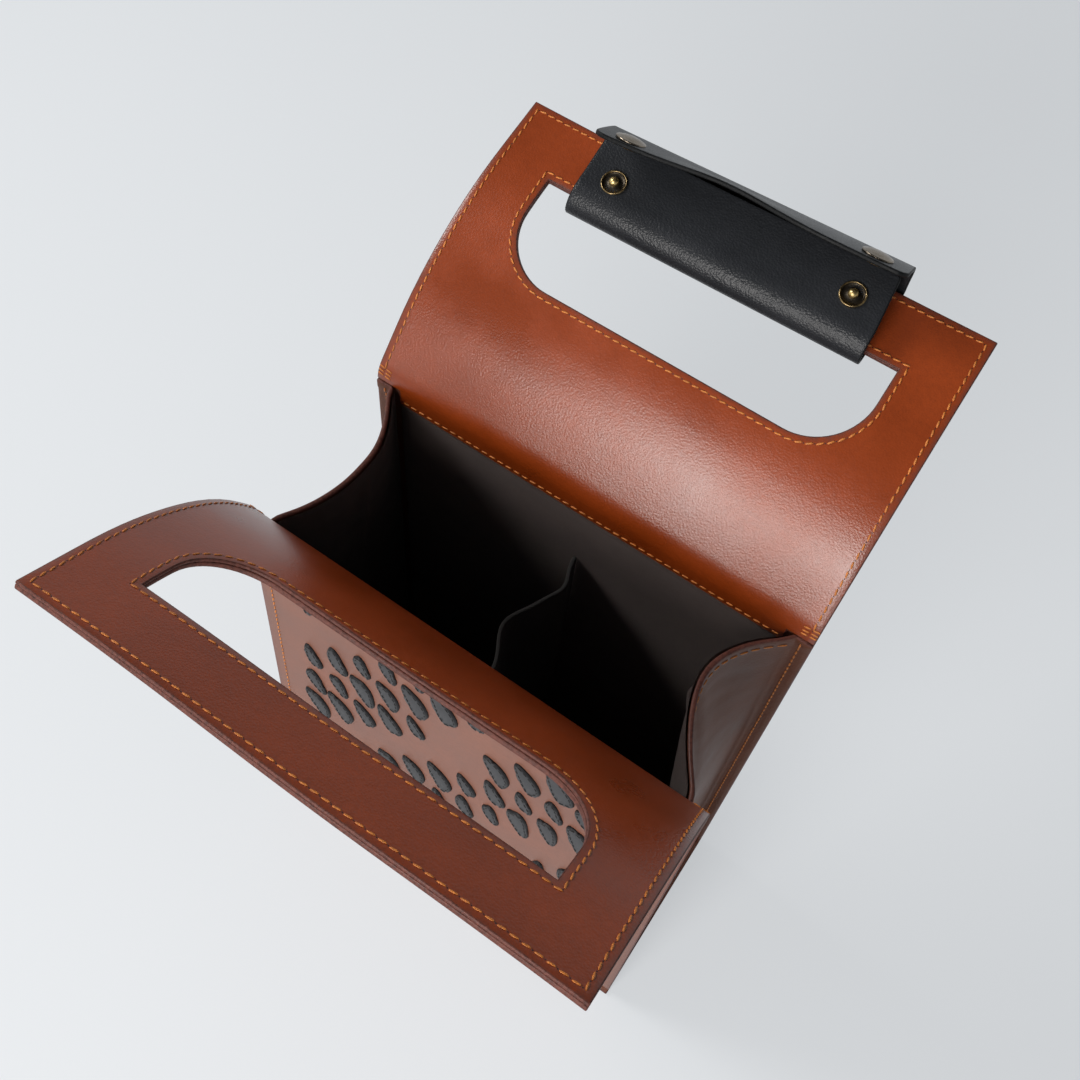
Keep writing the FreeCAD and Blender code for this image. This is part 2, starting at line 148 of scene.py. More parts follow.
def smooth_step(low, high, value):
    """Smooth rise from 0 to 1 between two values."""
    share = min(max((value - low) / (high - low), 0.0), 1.0)
    return share * share * (3 - 2 * share)


# Paths: a start point, a heading and (length, turn) runs in a plane

def along(path, distance):
    """Point and heading at a distance along a path."""
    start, heading, runs = path
    a, b = start
    for reach, turn in runs:
        run = min(distance, reach)
        if abs(turn) < TINY:
            a += math.cos(heading) * run
            b += math.sin(heading) * run
        else:
            radius = reach / turn
            a -= math.sin(heading) * radius
            b += math.cos(heading) * radius
            heading += turn * run / reach
            a += math.sin(heading) * radius
            b -= math.cos(heading) * radius
        distance -= run
    return a + math.cos(heading) * distance, b + math.sin(heading) * distance, heading


def path_length(path):
    """Length of a path."""
    return sum(run for run, _ in path[2])


def bend(bm, path, place, sway):
    """Bend a flat shape along a path: Y runs along it, Z is the offset to its left and sway adds to it."""
    for vert in bm.verts:
        x, distance, offset = vert.co
        offset += sway(x, distance)
        a, b, heading = along(path, distance)
        vert.co = place(x, a - math.sin(heading) * offset, b + math.cos(heading) * offset)


# Half the run over which a flap's fold bends, and the gap from the linings to the gussets' roots
FOLD_EASE = 0.005
LINING_END_GAP = 2.6 * MM


def half_stack(sizes):
    """Half the thickness of a flap."""
    return (sizes.outer_leather + sizes.facing_leather) / 2


def fold_y(sizes):
    """Distance of the folds from the middle of the carrier."""
    return sizes.mouth_depth / 2 - half_stack(sizes)


def foot_y(sizes):
    """Distance of the walls' feet from the middle of the carrier."""
    return sizes.base_depth / 2 - half_stack(sizes)


def wall_run(sizes):
    """Length of a wall from the fold to the ground."""
    return math.hypot(foot_y(sizes) - fold_y(sizes), sizes.wall_height)


def wall_inside(sizes, z):
    """Y of the rear panel's inner face at a height."""
    share = z / sizes.wall_height
    middle = foot_y(sizes) + (fold_y(sizes) - foot_y(sizes)) * share
    return middle - (sizes.outer_leather - half_stack(sizes))


def gusset_root(sizes):
    """Distance of the gussets' flanges' roots from the middle of the carrier."""
    return sizes.panel_width / 2 - sizes.seam_width


def gusset_top(sizes):
    """Height of the gussets."""
    return sizes.wall_height - sizes.gusset_drop


def lining_half(sizes):
    """Half the width of the linings and of the facings inside the mouth."""
    return gusset_root(sizes) - LINING_END_GAP


def side_path(sizes, side):
    """Middle of a wall and its flap from the ground up; side is 1 for the rear and -1 for the front."""
    lead, run, rail = (
        (sizes.rear_lead, sizes.rear_run, sizes.rear_rail) if side > 0
        else (sizes.front_lead, sizes.front_run, sizes.front_rail))
    upwards = math.pi / 2 + math.atan2(foot_y(sizes) - fold_y(sizes), sizes.wall_height)
    curl = sizes.flap_length - run - sizes.rail_width
    runs = [
        (wall_run(sizes) - FOLD_EASE, 0.0),
        (2 * FOLD_EASE, lead - upwards),
        (run - FOLD_EASE, 0.0),
        (curl, rail - lead),
        (sizes.rail_width, 0.0),
    ]
    return (foot_y(sizes), 0.0), upwards, runs


# The flaps' leather sways by this much; the sway sets in between two distances from the fold
FLAP_SWAY = 0.9 * MM
SWAY_START = (0.02, 0.07)


def side_bend(bm, sizes, side):
    """Bend a flat shape over a wall and its swaying flap; Y is counted from the fold."""
    base = wall_run(sizes)
    for vert in bm.verts:
        vert.co.y += base

    def sway(x, distance):
        reach = distance - base
        broad = 0.6 * math.sin(26 * x + 0.7) * math.sin(30 * reach + 0.4 * side)
        narrow = 0.4 * math.sin(47 * x + 1.9 * side)
        return FLAP_SWAY * smooth_step(*SWAY_START, reach) * (broad + narrow)

    bend(bm, side_path(sizes, side), lambda x, a, b: Vector((x, side * a, b)), sway)


def blend_over_fold(piece, sizes, side):
    """Bake a piece's placing into its mesh."""
    path = side_path(sizes, side)
    base = wall_run(sizes)
    low = along(path, base - FOLD_EASE)
    high = along(path, base + FOLD_EASE)
    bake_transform(piece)


# Meshes: edges that turn by more than SHARP are rounded, faces that look up or down less than RIM_NORMAL are
# rims; then the rounding of cut leather, of the wrap and the divider, of gussets and base, and of cloth

SHARP = 1.0
RIM_NORMAL = 0.95
CUT_ROUND = 0.45 * MM
WRAP_ROUND = 0.5 * MM
SOFT_ROUND = 0.6 * MM
CLOTH_ROUND = 0.2 * MM


def finish_mesh(bm, name, materials, smooth=True):
    """Turn a bmesh into an object with its materials."""
    mesh = bpy.data.meshes.new(name)
    bm.to_mesh(mesh)
    bm.free()
    for material in materials:
        mesh.materials.append(material)
    for polygon in mesh.polygons:
        polygon.use_smooth = smooth
    piece = bpy.data.objects.new(name, mesh)
    bpy.context.scene.collection.objects.link(piece)
    return piece


def add_mesh(bm, part):
    """Add a bmesh to another and free it; short parts build faster than one long mesh."""
    mesh = bpy.data.meshes.new("part")
    part.to_mesh(mesh)
    part.free()
    bm.from_mesh(mesh)
    bpy.data.meshes.remove(mesh)


def outward(bm):
    """Turn all faces outwards."""
    bmesh.ops.recalc_face_normals(bm, faces=bm.faces[:])


def verts_of(items):
    """Points among the items that a mesh operation made."""
    return [item for item in items if isinstance(item, bmesh.types.BMVert)]


def round_off(bm, geom, size, segments, affect="EDGES"):
    """Round edges or corners."""
    bmesh.ops.bevel(bm, geom=geom, offset=size, segments=segments, profile=0.5, affect=affect, material=-1)


def mark_rim(bm):
    """Give the faces that don't lie flat material 1."""
    bm.normal_update()
    for face in bm.faces:
        face.material_index = 1 if abs(face.normal.z) < RIM_NORMAL else 0


def thicken(bm, low, high, round_edge, segments=2):
    """Give a flat sheet its thickness, round its rim and mark the rim with material 1."""
    bmesh.ops.solidify(bm, geom=bm.faces[:], thickness=high - low)
    levels = [vert.co.z for vert in bm.verts]
    middle = (min(levels) + max(levels)) / 2
    for vert in bm.verts:
        vert.co.z = high if vert.co.z > middle else low
    outward(bm)
    rim = [edge for edge in bm.edges if edge.calc_face_angle(0.0) > SHARP]
    round_off(bm, rim, round_edge, segments)
    mark_rim(bm)


def grid_sheet(half, low, high, across, up):
    """Flat rectangle of cells, given by their numbers: X across, Y from low to high."""
    bm = bmesh.new()
    bmesh.ops.create_grid(bm, x_segments=across, y_segments=up, size=1.0)
    for vert in bm.verts:
        vert.co.x *= half
        vert.co.y = low + (vert.co.y + 1) / 2 * (high - low)
    return bm


def flat_sheet(half, low, high, cell):
    """Flat rectangle of cells of about a given size."""
    across = max(2, round(2 * half / cell))
    up = max(2, round((high - low) / cell))
    return grid_sheet(half, low, high, across, up)


# Flaps with a handle cut-out: size of the cells along the cut-out, steps round its corners, cuts from there
# out to the edge, how far the full width goes on below the fold, and width of the worn rim
CELL = 0.004
CORNER_CUTS = 16
RADIAL_CUTS = 9
CORNER_DROP = 0.0046
WEAR_WIDTH = 2.0 * MM

# Rows of the sheets from below the cut-out to just past the fold, close together where they bend
FLAP_STATIONS = [0.044, 0.036, 0.028, 0.020, 0.014, 0.010, 0.007, 0.005, 0.003, 0.0015, 0.0, -0.0015, -0.003]


def cutout_bounds(sizes):
    """Half width, far and near end and corner radius of the handle cut-out on a flat flap."""
    rail = sizes.flap_length - sizes.rail_width
    return sizes.cutout_width / 2, rail, rail - sizes.cutout_reach, sizes.cutout_corner


def cutout_gap(sizes, x, y):
    """Distance of a point of a flat flap outside the handle cut-out."""
    half, rail, near, corner = cutout_bounds(sizes)
    if y < near + corner and abs(x) > half - corner:
        return math.hypot(abs(x) - half + corner, near + corner - y) - corner
    over = max(abs(x) - half, 0.0)
    past = max(near - y, y - rail, 0.0)
    return math.hypot(over, past)


def cutout_edge(sizes):
    """Edge of the handle cut-out on a flat flap, in short steps."""
    half, rail, near, corner = cutout_bounds(sizes)
    bm = bmesh.new()
    spots = ((-half, rail), (-half, near), (half, near), (half, rail))
    corners = [bm.verts.new((x, y, 0)) for x, y in spots]
    bm.faces.new(corners)
    round_off(bm, corners[1:3], corner, CORNER_CUTS, "VERTICES")
    bmesh.ops.delete(bm, geom=bm.faces[:], context="FACES_ONLY")
    for side in [side for side in bm.edges if side.calc_length() > CELL]:
        bmesh.ops.subdivide_edges(bm, edges=[side], cuts=int(side.calc_length() / CELL))
    return bm


def outer_spot(sizes, floor, x, y):
    """Point on a flap's outline that faces a point of the cut-out's edge; floor is the lowest row."""
    half, rail, near, corner = cutout_bounds(sizes)
    edge = sizes.panel_width / 2
    quarter = math.pi / 4 * corner
    side_way = rail - near - corner
    corner_way = side_way + quarter
    sign = math.copysign(1, x)
    if y > rail - TINY:
        return x * edge / half, sizes.flap_length
    if y >= near + corner:
        way = rail - y
    elif abs(x) > half - corner:
        way = side_way + corner * math.atan2(near + corner - y, abs(x) - half + corner)
    else:
        way = corner_way + quarter + half - corner - abs(x)
    if way <= corner_way:
        return sign * edge, sizes.flap_length - way / corner_way * (sizes.flap_length - floor)
    return sign * edge * (1 - (way - corner_way) / (quarter + half - corner)), floor


def handle_sheet(sizes, low, high, stations, narrow_half):
    """Flat flap with its handle cut-out, continued down through stations, with a width of its own there."""
    bm = cutout_edge(sizes)
    edge = sizes.panel_width / 2
    floor = stations[0]
    ring = verts_of(bmesh.ops.extrude_edge_only(bm, edges=bm.edges[:])["geom"])
    for vert in ring:
        vert.co.x, vert.co.y = outer_spot(sizes, floor, vert.co.x, vert.co.y)
    if narrow_half < edge - TINY:
        foot = [vert for vert in ring if abs(vert.co.y - floor) < TINY]
        for sign in (-1, 1):
            nearest = min(foot, key=lambda vert: abs(vert.co.x - sign * narrow_half))
            nearest.co.x = sign * narrow_half
    outer = set(ring)
    radial = [item for item in bm.edges if (item.verts[0] in outer) != (item.verts[1] in outer)]
    bmesh.ops.subdivide_edges(bm, edges=radial, cuts=RADIAL_CUTS, use_grid_fill=True)
    row = [item for item in bm.edges if all(abs(vert.co.y - floor) < TINY for vert in item.verts)]
    for station in stations[1:]:
        if station < -CORNER_DROP - TINY:
            row = [item for item in row if all(abs(vert.co.x) < narrow_half + TINY for vert in item.verts)]
        made = bmesh.ops.extrude_edge_only(bm, edges=row)["geom"]
        moved = set(verts_of(made))
        for vert in moved:
            vert.co.y = station
        row = [item for item in made
               if isinstance(item, bmesh.types.BMEdge) and all(vert in moved for vert in item.verts)]
    thicken(bm, low, high, CUT_ROUND)
    wear = bm.verts.layers.float.new("rim")
    for vert in bm.verts:
        x, y = vert.co.x, vert.co.y
        gap = min(edge - abs(x), sizes.flap_length - y, cutout_gap(sizes, x, y))
        vert[wear] = 1 - smooth_step(0.0, WEAR_WIDTH, gap)
    return bm


# Stitches: sides, bluntness of the ends, height and rise as shares of the thread, and slant; needle holes,
# which
# are dark discs of painted shade: sides, size as a share of the thread, and rise; steps of a seam round a
# corner
STITCH_SIDES = 6
STITCH_BLUNT = 0.7
STITCH_FLAT = 0.75
STITCH_RISE = 0.25
STITCH_SLANT = 0.16
HOLE_SIDES = 8
HOLE_SIZE = 0.62
HOLE_RISE = 0.04 * MM
ARC_STEPS = 12


def run_length(first, last):
    """Length of a straight run."""
    return (Vector(last) - Vector(first)).length


def polyline_spot(points, distance):
    """Point and direction at a distance along straight runs."""
    for first, last in zip(points, points[1:]):
        run = run_length(first, last)
        if distance <= run or last is points[-1]:
            share = distance / run
            x = first[0] + (last[0] - first[0]) * share
            y = first[1] + (last[1] - first[1]) * share
            return x, y, math.atan2(last[1] - first[1], last[0] - first[0])
        distance -= run


def stitch_run(bm, points, sizes, level, slant=0.0, scale=1.0, holes=True):
    """Row of stitches along straight runs of a flat shape; the sign of level is the face it is on."""
    stitch, gap, thread = sizes.stitch * scale, sizes.stitch_gap * scale, sizes.thread * scale
    total = sum(run_length(first, last) for first, last in zip(points, points[1:]))
    count = max(1, round(total / (stitch + gap)))
    pitch = total / count
    face = math.copysign(1, level)
    row = bmesh.new()
    for step in range(count):
        x, y, turn = polyline_spot(points, (step + 0.5) * pitch)
        spot = Matrix.Translation((x, y, level + face * STITCH_RISE * thread))
        lie = Matrix.Rotation(turn + slant, 4, "Z") @ Matrix.Rotation(math.pi / 2, 4, "Y")
        size = Matrix.Diagonal((STITCH_FLAT * thread, thread, stitch / 2, 1))
        made = bmesh.ops.create_uvsphere(row, u_segments=STITCH_SIDES, v_segments=STITCH_SIDES, radius=1.0)
        for vert in made["verts"]:
            vert.co.z = math.copysign(abs(vert.co.z) ** STITCH_BLUNT, vert.co.z)
        bmesh.ops.transform(row, matrix=spot @ lie @ size, verts=made["verts"])
    # Needle holes: flat dark discs on the leather, painted shade standing in for the depth of the holes
    for step in range(count + 1 if holes else 0):
        x, y, _ = polyline_spot(points, step * pitch)
        spot = Matrix.Translation((x, y, level + face * HOLE_RISE))
        made = bmesh.ops.create_circle(
            row, cap_ends=True, segments=HOLE_SIDES, radius=HOLE_SIZE * thread, matrix=spot)
        for vert in made["verts"]:
            for link in vert.link_faces:
                link.material_index = 1
    add_mesh(bm, row)


def cutout_line(sizes, inset):
    """Closed line round the handle cut-out, a little outside it."""
    half, rail, near, corner = cutout_bounds(sizes)
    half += inset
    rail += inset
    near -= inset
    corner += inset
    points = [(-half, rail)]
    for centre, start in ((corner - half, math.pi), (half - corner, 1.5 * math.pi)):
        for step in range(ARC_STEPS + 1):
            turn = start + math.pi / 2 * step / ARC_STEPS
            points.append((centre + corner * math.cos(turn), near + corner + corner * math.sin(turn)))
    return points + [(half, rail), (-half, rail)]


# Materials: MID is the range that most of a noise texture lies in, MIX_INPUTS and MIX_RESULT are the sockets
# of a mix node that carry colours

MID = (0.3, 0.7)
MIX_INPUTS = (6, 7)
MIX_RESULT = 2


def add_node(tree, kind, **settings):
    """Add a node; settings name its sockets or its properties."""
    node = tree.nodes.new(kind)
    for key, value in settings.items():
        if key in node.inputs:
            node.inputs[key].default_value = value
        else:
            setattr(node, key, value)
    return node


def surface(name):
    """New material, with its node tree, its shader and the coordinates for its textures."""
    material = bpy.data.materials.new(name)
    material.use_nodes = True
    tree = material.node_tree
    coords = add_node(tree, "ShaderNodeTexCoord").outputs["Object"]
    return material, tree, tree.nodes["Principled BSDF"], coords


def noise_node(tree, coords, scale, detail, roughness, stretch=None):
    """Noise texture on given coordinates."""
    texture = add_node(tree, "ShaderNodeTexNoise", Scale=scale, Detail=detail, Roughness=roughness)
    if stretch:
        mapping = add_node(tree, "ShaderNodeMapping", Scale=stretch)
        tree.links.new(coords, mapping.inputs["Vector"])
        coords = mapping.outputs["Vector"]
    tree.links.new(coords, texture.inputs["Vector"])
    return texture.outputs["Fac"]


def span(tree, value, low, high, to_low=0.0, to_high=1.0):
    """Map a value from one range to another, clamped."""
    node = add_node(tree, "ShaderNodeMapRange")
    for key, bound in (("From Min", low), ("From Max", high), ("To Min", to_low), ("To Max", to_high)):
        node.inputs[key].default_value = bound
    tree.links.new(value, node.inputs["Value"])
    return node.outputs["Result"]


def mix_colour(tree, share, first, last):
    """Mix two colours by a socket's value; each is a colour or a socket."""
    node = add_node(tree, "ShaderNodeMix", data_type="RGBA")
    tree.links.new(share, node.inputs[0])
    for index, value in zip(MIX_INPUTS, (first, last)):
        if isinstance(value, bpy.types.NodeSocket):
            tree.links.new(value, node.inputs[index])
        else:
            node.inputs[index].default_value = (*value, 1.0)
    return node.outputs[MIX_RESULT]


def maths(tree, operation, first, last):
    """Maths node on a socket and another socket or a number."""
    node = add_node(tree, "ShaderNodeMath", operation=operation)
    tree.links.new(first, node.inputs[0])
    if isinstance(last, bpy.types.NodeSocket):
        tree.links.new(last, node.inputs[1])
    else:
        node.inputs[1].default_value = last
    return node.outputs[0]


def shade(base, factor):
    """Colour made darker or lighter."""
    return tuple(min(1.0, channel * factor) for channel in base)


def paint(tone):
    """Colour given by its name in the carrier's colours, or as it is."""
    if isinstance(tone, str):
        return tuple(getattr(bpy.context.scene.carrier_colours, tone))
    return tone


def dress(tree, shader, tone, rough):
    """Give a shader its colour and its roughness."""
    tree.links.new(tone, shader.inputs["Base Color"])
    tree.links.new(rough, shader.inputs["Roughness"])


def emboss(tree, shader, height, strength, distance):
    """Give a shader a bump of some millimetres."""
    bump = add_node(tree, "ShaderNodeBump", Strength=strength, Distance=distance * MM)
    tree.links.new(height, bump.inputs["Height"])
    tree.links.new(bump.outputs["Normal"], shader.inputs["Normal"])


def leather(name, base, roughness, grain, depth, gloss, crease=0.0, rim=False):
    """Grained leather: mottled colour, pores, a pebbled bump, and darker worn rims; grain and depth in mm."""
    material, tree, shader, coords = surface(name)
    mottle = noise_node(tree, coords, 22.0, 4.0, 0.6)
    fibre = noise_node(tree, coords, 420.0, 2.0, 0.5)
    pores = noise_node(tree, coords, 1900.0, 1.0, 0.5)
    tone = mix_colour(tree, span(tree, mottle, *MID), shade(base, 0.80), shade(base, 1.16))
    tone = mix_colour(tree, span(tree, fibre, 0.35, 0.75, 0.0, 0.28), tone, shade(base, 0.62))
    tone = mix_colour(tree, span(tree, pores, 0.62, 0.8, 0.0, 0.35), tone, shade(base, 0.4))
    if rim:
        worn = add_node(tree, "ShaderNodeAttribute", attribute_name="rim").outputs["Fac"]
        patchy = maths(tree, "MULTIPLY", worn, span(tree, fibre, *MID, 0.3, 0.9))
        tone = mix_colour(tree, patchy, tone, shade(paint("edge"), 1.4))
    dress(tree, shader, tone, span(tree, mottle, *MID, roughness - 0.04, roughness + 0.06))
    cells = add_node(tree, "ShaderNodeTexVoronoi", Scale=1000.0 / grain, feature="F1")
    tree.links.new(coords, cells.inputs["Vector"])
    pebble = span(tree, cells.outputs["Distance"], 0.0, 0.8, 1.0, 0.0)
    relief = maths(tree, "ADD", pebble, maths(tree, "MULTIPLY", fibre, 0.6))
    if crease:
        wrinkle = noise_node(tree, coords, 85.0, 3.0, 0.6, (1.0, 1.0, 0.4))
        relief = maths(tree, "ADD", relief, maths(tree, "MULTIPLY", wrinkle, crease))
    emboss(tree, shader, relief, 0.7, depth)
    shader.inputs["Specular IOR Level"].default_value = gloss
    return material


def raw_edge(name, base, gloss):
    """Cut and burnished leather edge with fine fibres."""
    material, tree, shader, coords = surface(name)
    fibre = noise_node(tree, coords, 900.0, 3.0, 0.6)
    patchy = noise_node(tree, coords, 60.0, 3.0, 0.6)
    tone = mix_colour(tree, span(tree, fibre, *MID), shade(base, 0.55), shade(base, 1.7))
    tone = mix_colour(tree, span(tree, patchy, 0.5, 0.75, 0.0, 0.5), tone, shade(base, 1.9))
    dress(tree, shader, tone, span(tree, patchy, *MID, 0.42, 0.62))
    emboss(tree, shader, fibre, 0.5, 0.3)
    shader.inputs["Specular IOR Level"].default_value = gloss
    return material


def napped(name, base, sheen):
    """Suede or napped cloth: soft patches and a fine nap."""
    material, tree, shader, coords = surface(name)
    brushed = noise_node(tree, coords, 36.0, 4.0, 0.65)
    nap = noise_node(tree, coords, 2400.0, 2.0, 0.6)
    tone = mix_colour(tree, span(tree, brushed, *MID), shade(base, 0.7), shade(base, 1.5))
    tone = mix_colour(tree, span(tree, nap, 0.35, 0.7, 0.0, 0.6), tone, shade(base, 2.0))
    dress(tree, shader, tone, span(tree, nap, *MID, 0.82, 0.98))
    emboss(tree, shader, nap, 0.4, 0.2)
    shader.inputs["Sheen Weight"].default_value = sheen
    shader.inputs["Sheen Roughness"].default_value = 0.6
    shader.inputs["Sheen Tint"].default_value = (0.45, 0.38, 0.36, 1.0)
    return material


def waxed_thread(name, base):
    """Waxed thread with a fine twist."""
    material, tree, shader, coords = surface(name)
    twist = noise_node(tree, coords, 2600.0, 1.0, 0.5)
    age = noise_node(tree, coords, 70.0, 3.0, 0.6)
    tone = mix_colour(tree, span(tree, twist, 0.35, 0.65), shade(base, 0.6), shade(base, 1.2))
    tone = mix_colour(tree, span(tree, age, 0.45, 0.75, 0.0, 0.6), tone, shade(base, 0.5))
    dress(tree, shader, tone, span(tree, age, *MID, 0.45, 0.6))
    emboss(tree, shader, twist, 0.5, 0.2)
    return material


def antique_metal(name, base, dark, roughness, patch):
    """Brass with dark patina and fine wear; patch is the scale of the patina."""
    material, tree, shader, coords = surface(name)
    patina = noise_node(tree, coords, patch, 4.0, 0.6)
    wear = noise_node(tree, coords, 1500.0, 2.0, 0.5)
    tone = mix_colour(tree, span(tree, patina, 0.35, 0.7), base, shade(base, dark))
    dress(tree, shader, tone, span(tree, wear, *MID, roughness - 0.06, roughness + 0.14))
    emboss(tree, shader, wear, 0.15, 0.1)
    shader.inputs["Metallic"].default_value = 1.0
    return material


def board(name, light, dark):
    """Grey fibre board."""
    material, tree, shader, coords = surface(name)
    fleck = noise_node(tree, coords, 500.0, 3.0, 0.6)
    tone = mix_colour(tree, span(tree, fleck, *MID), dark, light)
    dress(tree, shader, tone, span(tree, fleck, *MID, 0.7, 0.85))
    return material


# How each material is made: maker, name, colour and the maker's settings in its own order
RECIPES = {
    "facing": (leather, "facing_leather", "facing", 0.30, 0.85, 0.055, 0.6, 0.0, True),
    "outer": (leather, "outer_leather", "outer", 0.42, 0.62, 0.05, 0.3, 0.0, True),
    "gusset": (leather, "gusset_leather", "gusset", 0.44, 0.9, 0.12, 0.1, 6.0),
    "base": (leather, "base_leather", "outer", 0.5, 0.8, 0.08, 0.5),
    "patch": (leather, "patch_leather", "patch", 0.5, 0.6, 0.05, 0.25),
    "wrap": (leather, "wrap_leather", "wrap", 0.36, 0.9, 0.15, 0.24),
    "edge": (raw_edge, "burnished_edge", "edge", 0.25),
    "wrap_edge": (raw_edge, "wrap_edge", (0.005, 0.0055, 0.006), 0.12),
    "patch_edge": (raw_edge, "patch_edge", (0.007, 0.007, 0.008), 0.25),
    # Painted shade of the needle holes: a dark raw-edge colour on flat discs
    "hole": (raw_edge, "needle_holes", (0.035, 0.012, 0.008), 0.5),
    "lining": (napped, "napped_lining", "lining", 0.35),
    "suede": (napped, "divider_suede", "suede", 0.2),
    "thread": (waxed_thread, "orange_thread", "thread"),
    "dark_thread": (waxed_thread, "dark_thread", "dark_thread"),
    "brass": (antique_metal, "antique_brass", "brass", 0.25, 0.3, 320.0),
    "bronze": (antique_metal, "dark_bronze", (0.06, 0.05, 0.038), 0.4, 0.4, 320.0),
    "ball": (antique_metal, "stud_brass", (0.62, 0.46, 0.20), 0.6, 0.34, 200.0),
    "cap": (antique_metal, "cap_bronze", (0.27, 0.225, 0.175), 0.72, 0.26, 90.0),
    "board": (board, "fibre_board", (0.085, 0.08, 0.072), (0.04, 0.036, 0.033)),
}
FINISHES = {}


def finish(name):
    """One of the carrier's materials, made once."""
    if name not in FINISHES:
        maker, title, tone, *settings = RECIPES[name]
        FINISHES[name] = maker(title, paint(tone), *settings)
    return FINISHES[name]


def add_piece(bm, name, finishes, nodes=(), body=None):
    """Add a piece with its finishes, the CAD nodes it replaces and the body it rides on."""
    outward(bm)
    piece = finish_mesh(bm, name, [finish(key) for key in finishes])
    if nodes:
        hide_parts(*nodes)
    if body:
        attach(piece, body)
    return piece


# Rows of the outer leather and of the facings below the fold, the number of even rows from there to the foot,
# and the gap between the two layers
WALL_STATIONS = [-CORNER_DROP, -0.007, -0.011, -0.018]
FACING_STATIONS = [-CORNER_DROP, -0.0075, -0.0105]
WALL_ROWS = 24
LAYER_GAP = 0.02 * MM


class CARRIER_OT_outer_leather(bpy.types.Operator):
    """Outer leather of each side, one piece from the base over the fold to the edge of the flap"""

    bl_idname = "carrier.outer_leather"
    bl_label = "Outer leather"

    def execute(self, context):
        sizes = context.scene.carrier_sizes
        half = half_stack(sizes)
        last = WALL_STATIONS[-1]
        run = sizes.base_leather - wall_run(sizes) - last
        stations = FLAP_STATIONS + WALL_STATIONS
        stations += [last + run * step / WALL_ROWS for step in range(1, WALL_ROWS + 1)]
        for side, name in SIDES.items():
            bm = handle_sheet(sizes, -half, sizes.outer_leather - half, stations, sizes.panel_width / 2)
            side_bend(bm, sizes, side)
            nodes = (name + "_panel", name + "_flap_leather")
            piece = add_piece(bm, name + "_outer_leather", ("outer", "edge"), nodes)
            blend_over_fold(piece, sizes, side)
        return {"FINISHED"}


class CARRIER_OT_facings(bpy.types.Operator):
    """Facing of each flap, carried over the fold into the mouth"""

    bl_idname = "carrier.facings"
    bl_label = "Facings"

    def execute(self, context):
        sizes = context.scene.carrier_sizes
        half = half_stack(sizes)
        low = sizes.outer_leather - half + LAYER_GAP
        stations = FLAP_STATIONS + FACING_STATIONS + [-sizes.facing_drop]
        for side, name in SIDES.items():
            bm = handle_sheet(sizes, low, half, stations, lining_half(sizes))
            side_bend(bm, sizes, side)
            nodes = (name + "_facing_band", name + "_flap_facing")
            piece = add_piece(bm, name + "_facing", ("facing", "edge"), nodes)
            blend_over_fold(piece, sizes, side)
        return {"FINISHED"}


# Fold of each gusset at the mouth: its depth as a share of the CAD bow, where it is deepest, where it ends
# at the front and rear, and how round it is towards the front; then how round all are towards the rear, and
# how round the bow is lower down
GUSSET_FOLDS = {1: (1.0, 0.11, -0.88, 0.98, 1.6), -1: (0.66, 0.03, -0.92, 0.92, 2.1)}
REAR_ROUND = 2.1
LOW_ROUND = 2.2
# Where the fold starts below the shoulder and ends above the top, how soft its ends are, and how steeply it
# dies out at the seams
FOLD_START = 0.05
FOLD_PAST = 0.01
FOLD_SOFTNESS = 0.02
FOLD_END = 10
# Crease along the fold: depth and spread; it sets in between two distances below the top
CREASE = (-3.2 * MM, 0.06)
CREASE_START = (0.006, 0.020)
# Unevenness: height, how often it changes across and up the gusset, and a place in the noise
BUCKLE = (0.9 * MM, 2.1, 22.0, 3.7)
RIPPLE = (0.8 * MM, 3.0, 95.0, 8.1)


def uneven(waves, t, z):
    """Unevenness of a gusset's leather, none at its ends."""
    height, across, up, place = waves
    return height * noise.noise(Vector((t * across, z * up, place))) * (1 - t * t)


def gusset_spot(sizes, sign, t, z, inset):
    """Point of a gusset's web: t runs from -1 at the front to 1 at the rear; inset is measured inwards."""
    depth, peak, front_end, rear_end, front_round = GUSSET_FOLDS[sign]
    top = gusset_top(sizes)
    fold_in = smooth_step(sizes.gusset_shoulder - FOLD_START, top + FOLD_PAST, z)
    bow = sizes.gusset_bow_low + (depth * sizes.gusset_bow_top - sizes.gusset_bow_low) * fold_in
    share = (t - peak) / (rear_end - peak) if t > peak else (peak - t) / (peak - front_end)
    folded = 1 - share ** (REAR_ROUND if t > peak else front_round)
    folded = (folded + math.sqrt(folded * folded + FOLD_SOFTNESS)) / 2 * (1 - t ** FOLD_END)
    shape = (1 - fold_in) * (1 - abs(t) ** LOW_ROUND) + fold_in * folded
    below = smooth_step(top - CREASE_START[0], top - CREASE_START[1], z)
    valley = CREASE[0] * math.exp(-((t - peak) / CREASE[1]) ** 2) * fold_in * below
    ripple = uneven(RIPPLE, t, z) * fold_in * below
    x = gusset_root(sizes) - bow * shape - inset + uneven(BUCKLE, t, z) + valley + ripple
    return x, t * (wall_inside(sizes, z) - inset * abs(t))


# Gussets: size of the cells, gap to the wall, width of the hem and how much thicker it is
GUSSET_CELL = 2.4 * MM
WALL_GAP = 0.05 * MM
HEM = 6.0 * MM
HEM_SWELL = 0.35
# Bends from the web to the flanges: their half width, their reach from the wall, and how they are smoothed
ROOT_WIDTH = 3 * MM
ROOT_REACH = 4 * MM
ROOT_ROUNDS = 3
ROOT_FACTOR = 0.4
# Their stitching: height above the hem's lower edge, distance from the web's ends, the base and the top
HEM_STITCH = 0.8 * MM
HEM_ENDS = 3 * MM
SEAM_LOW = 5 * MM
SEAM_HIGH = 2 * MM


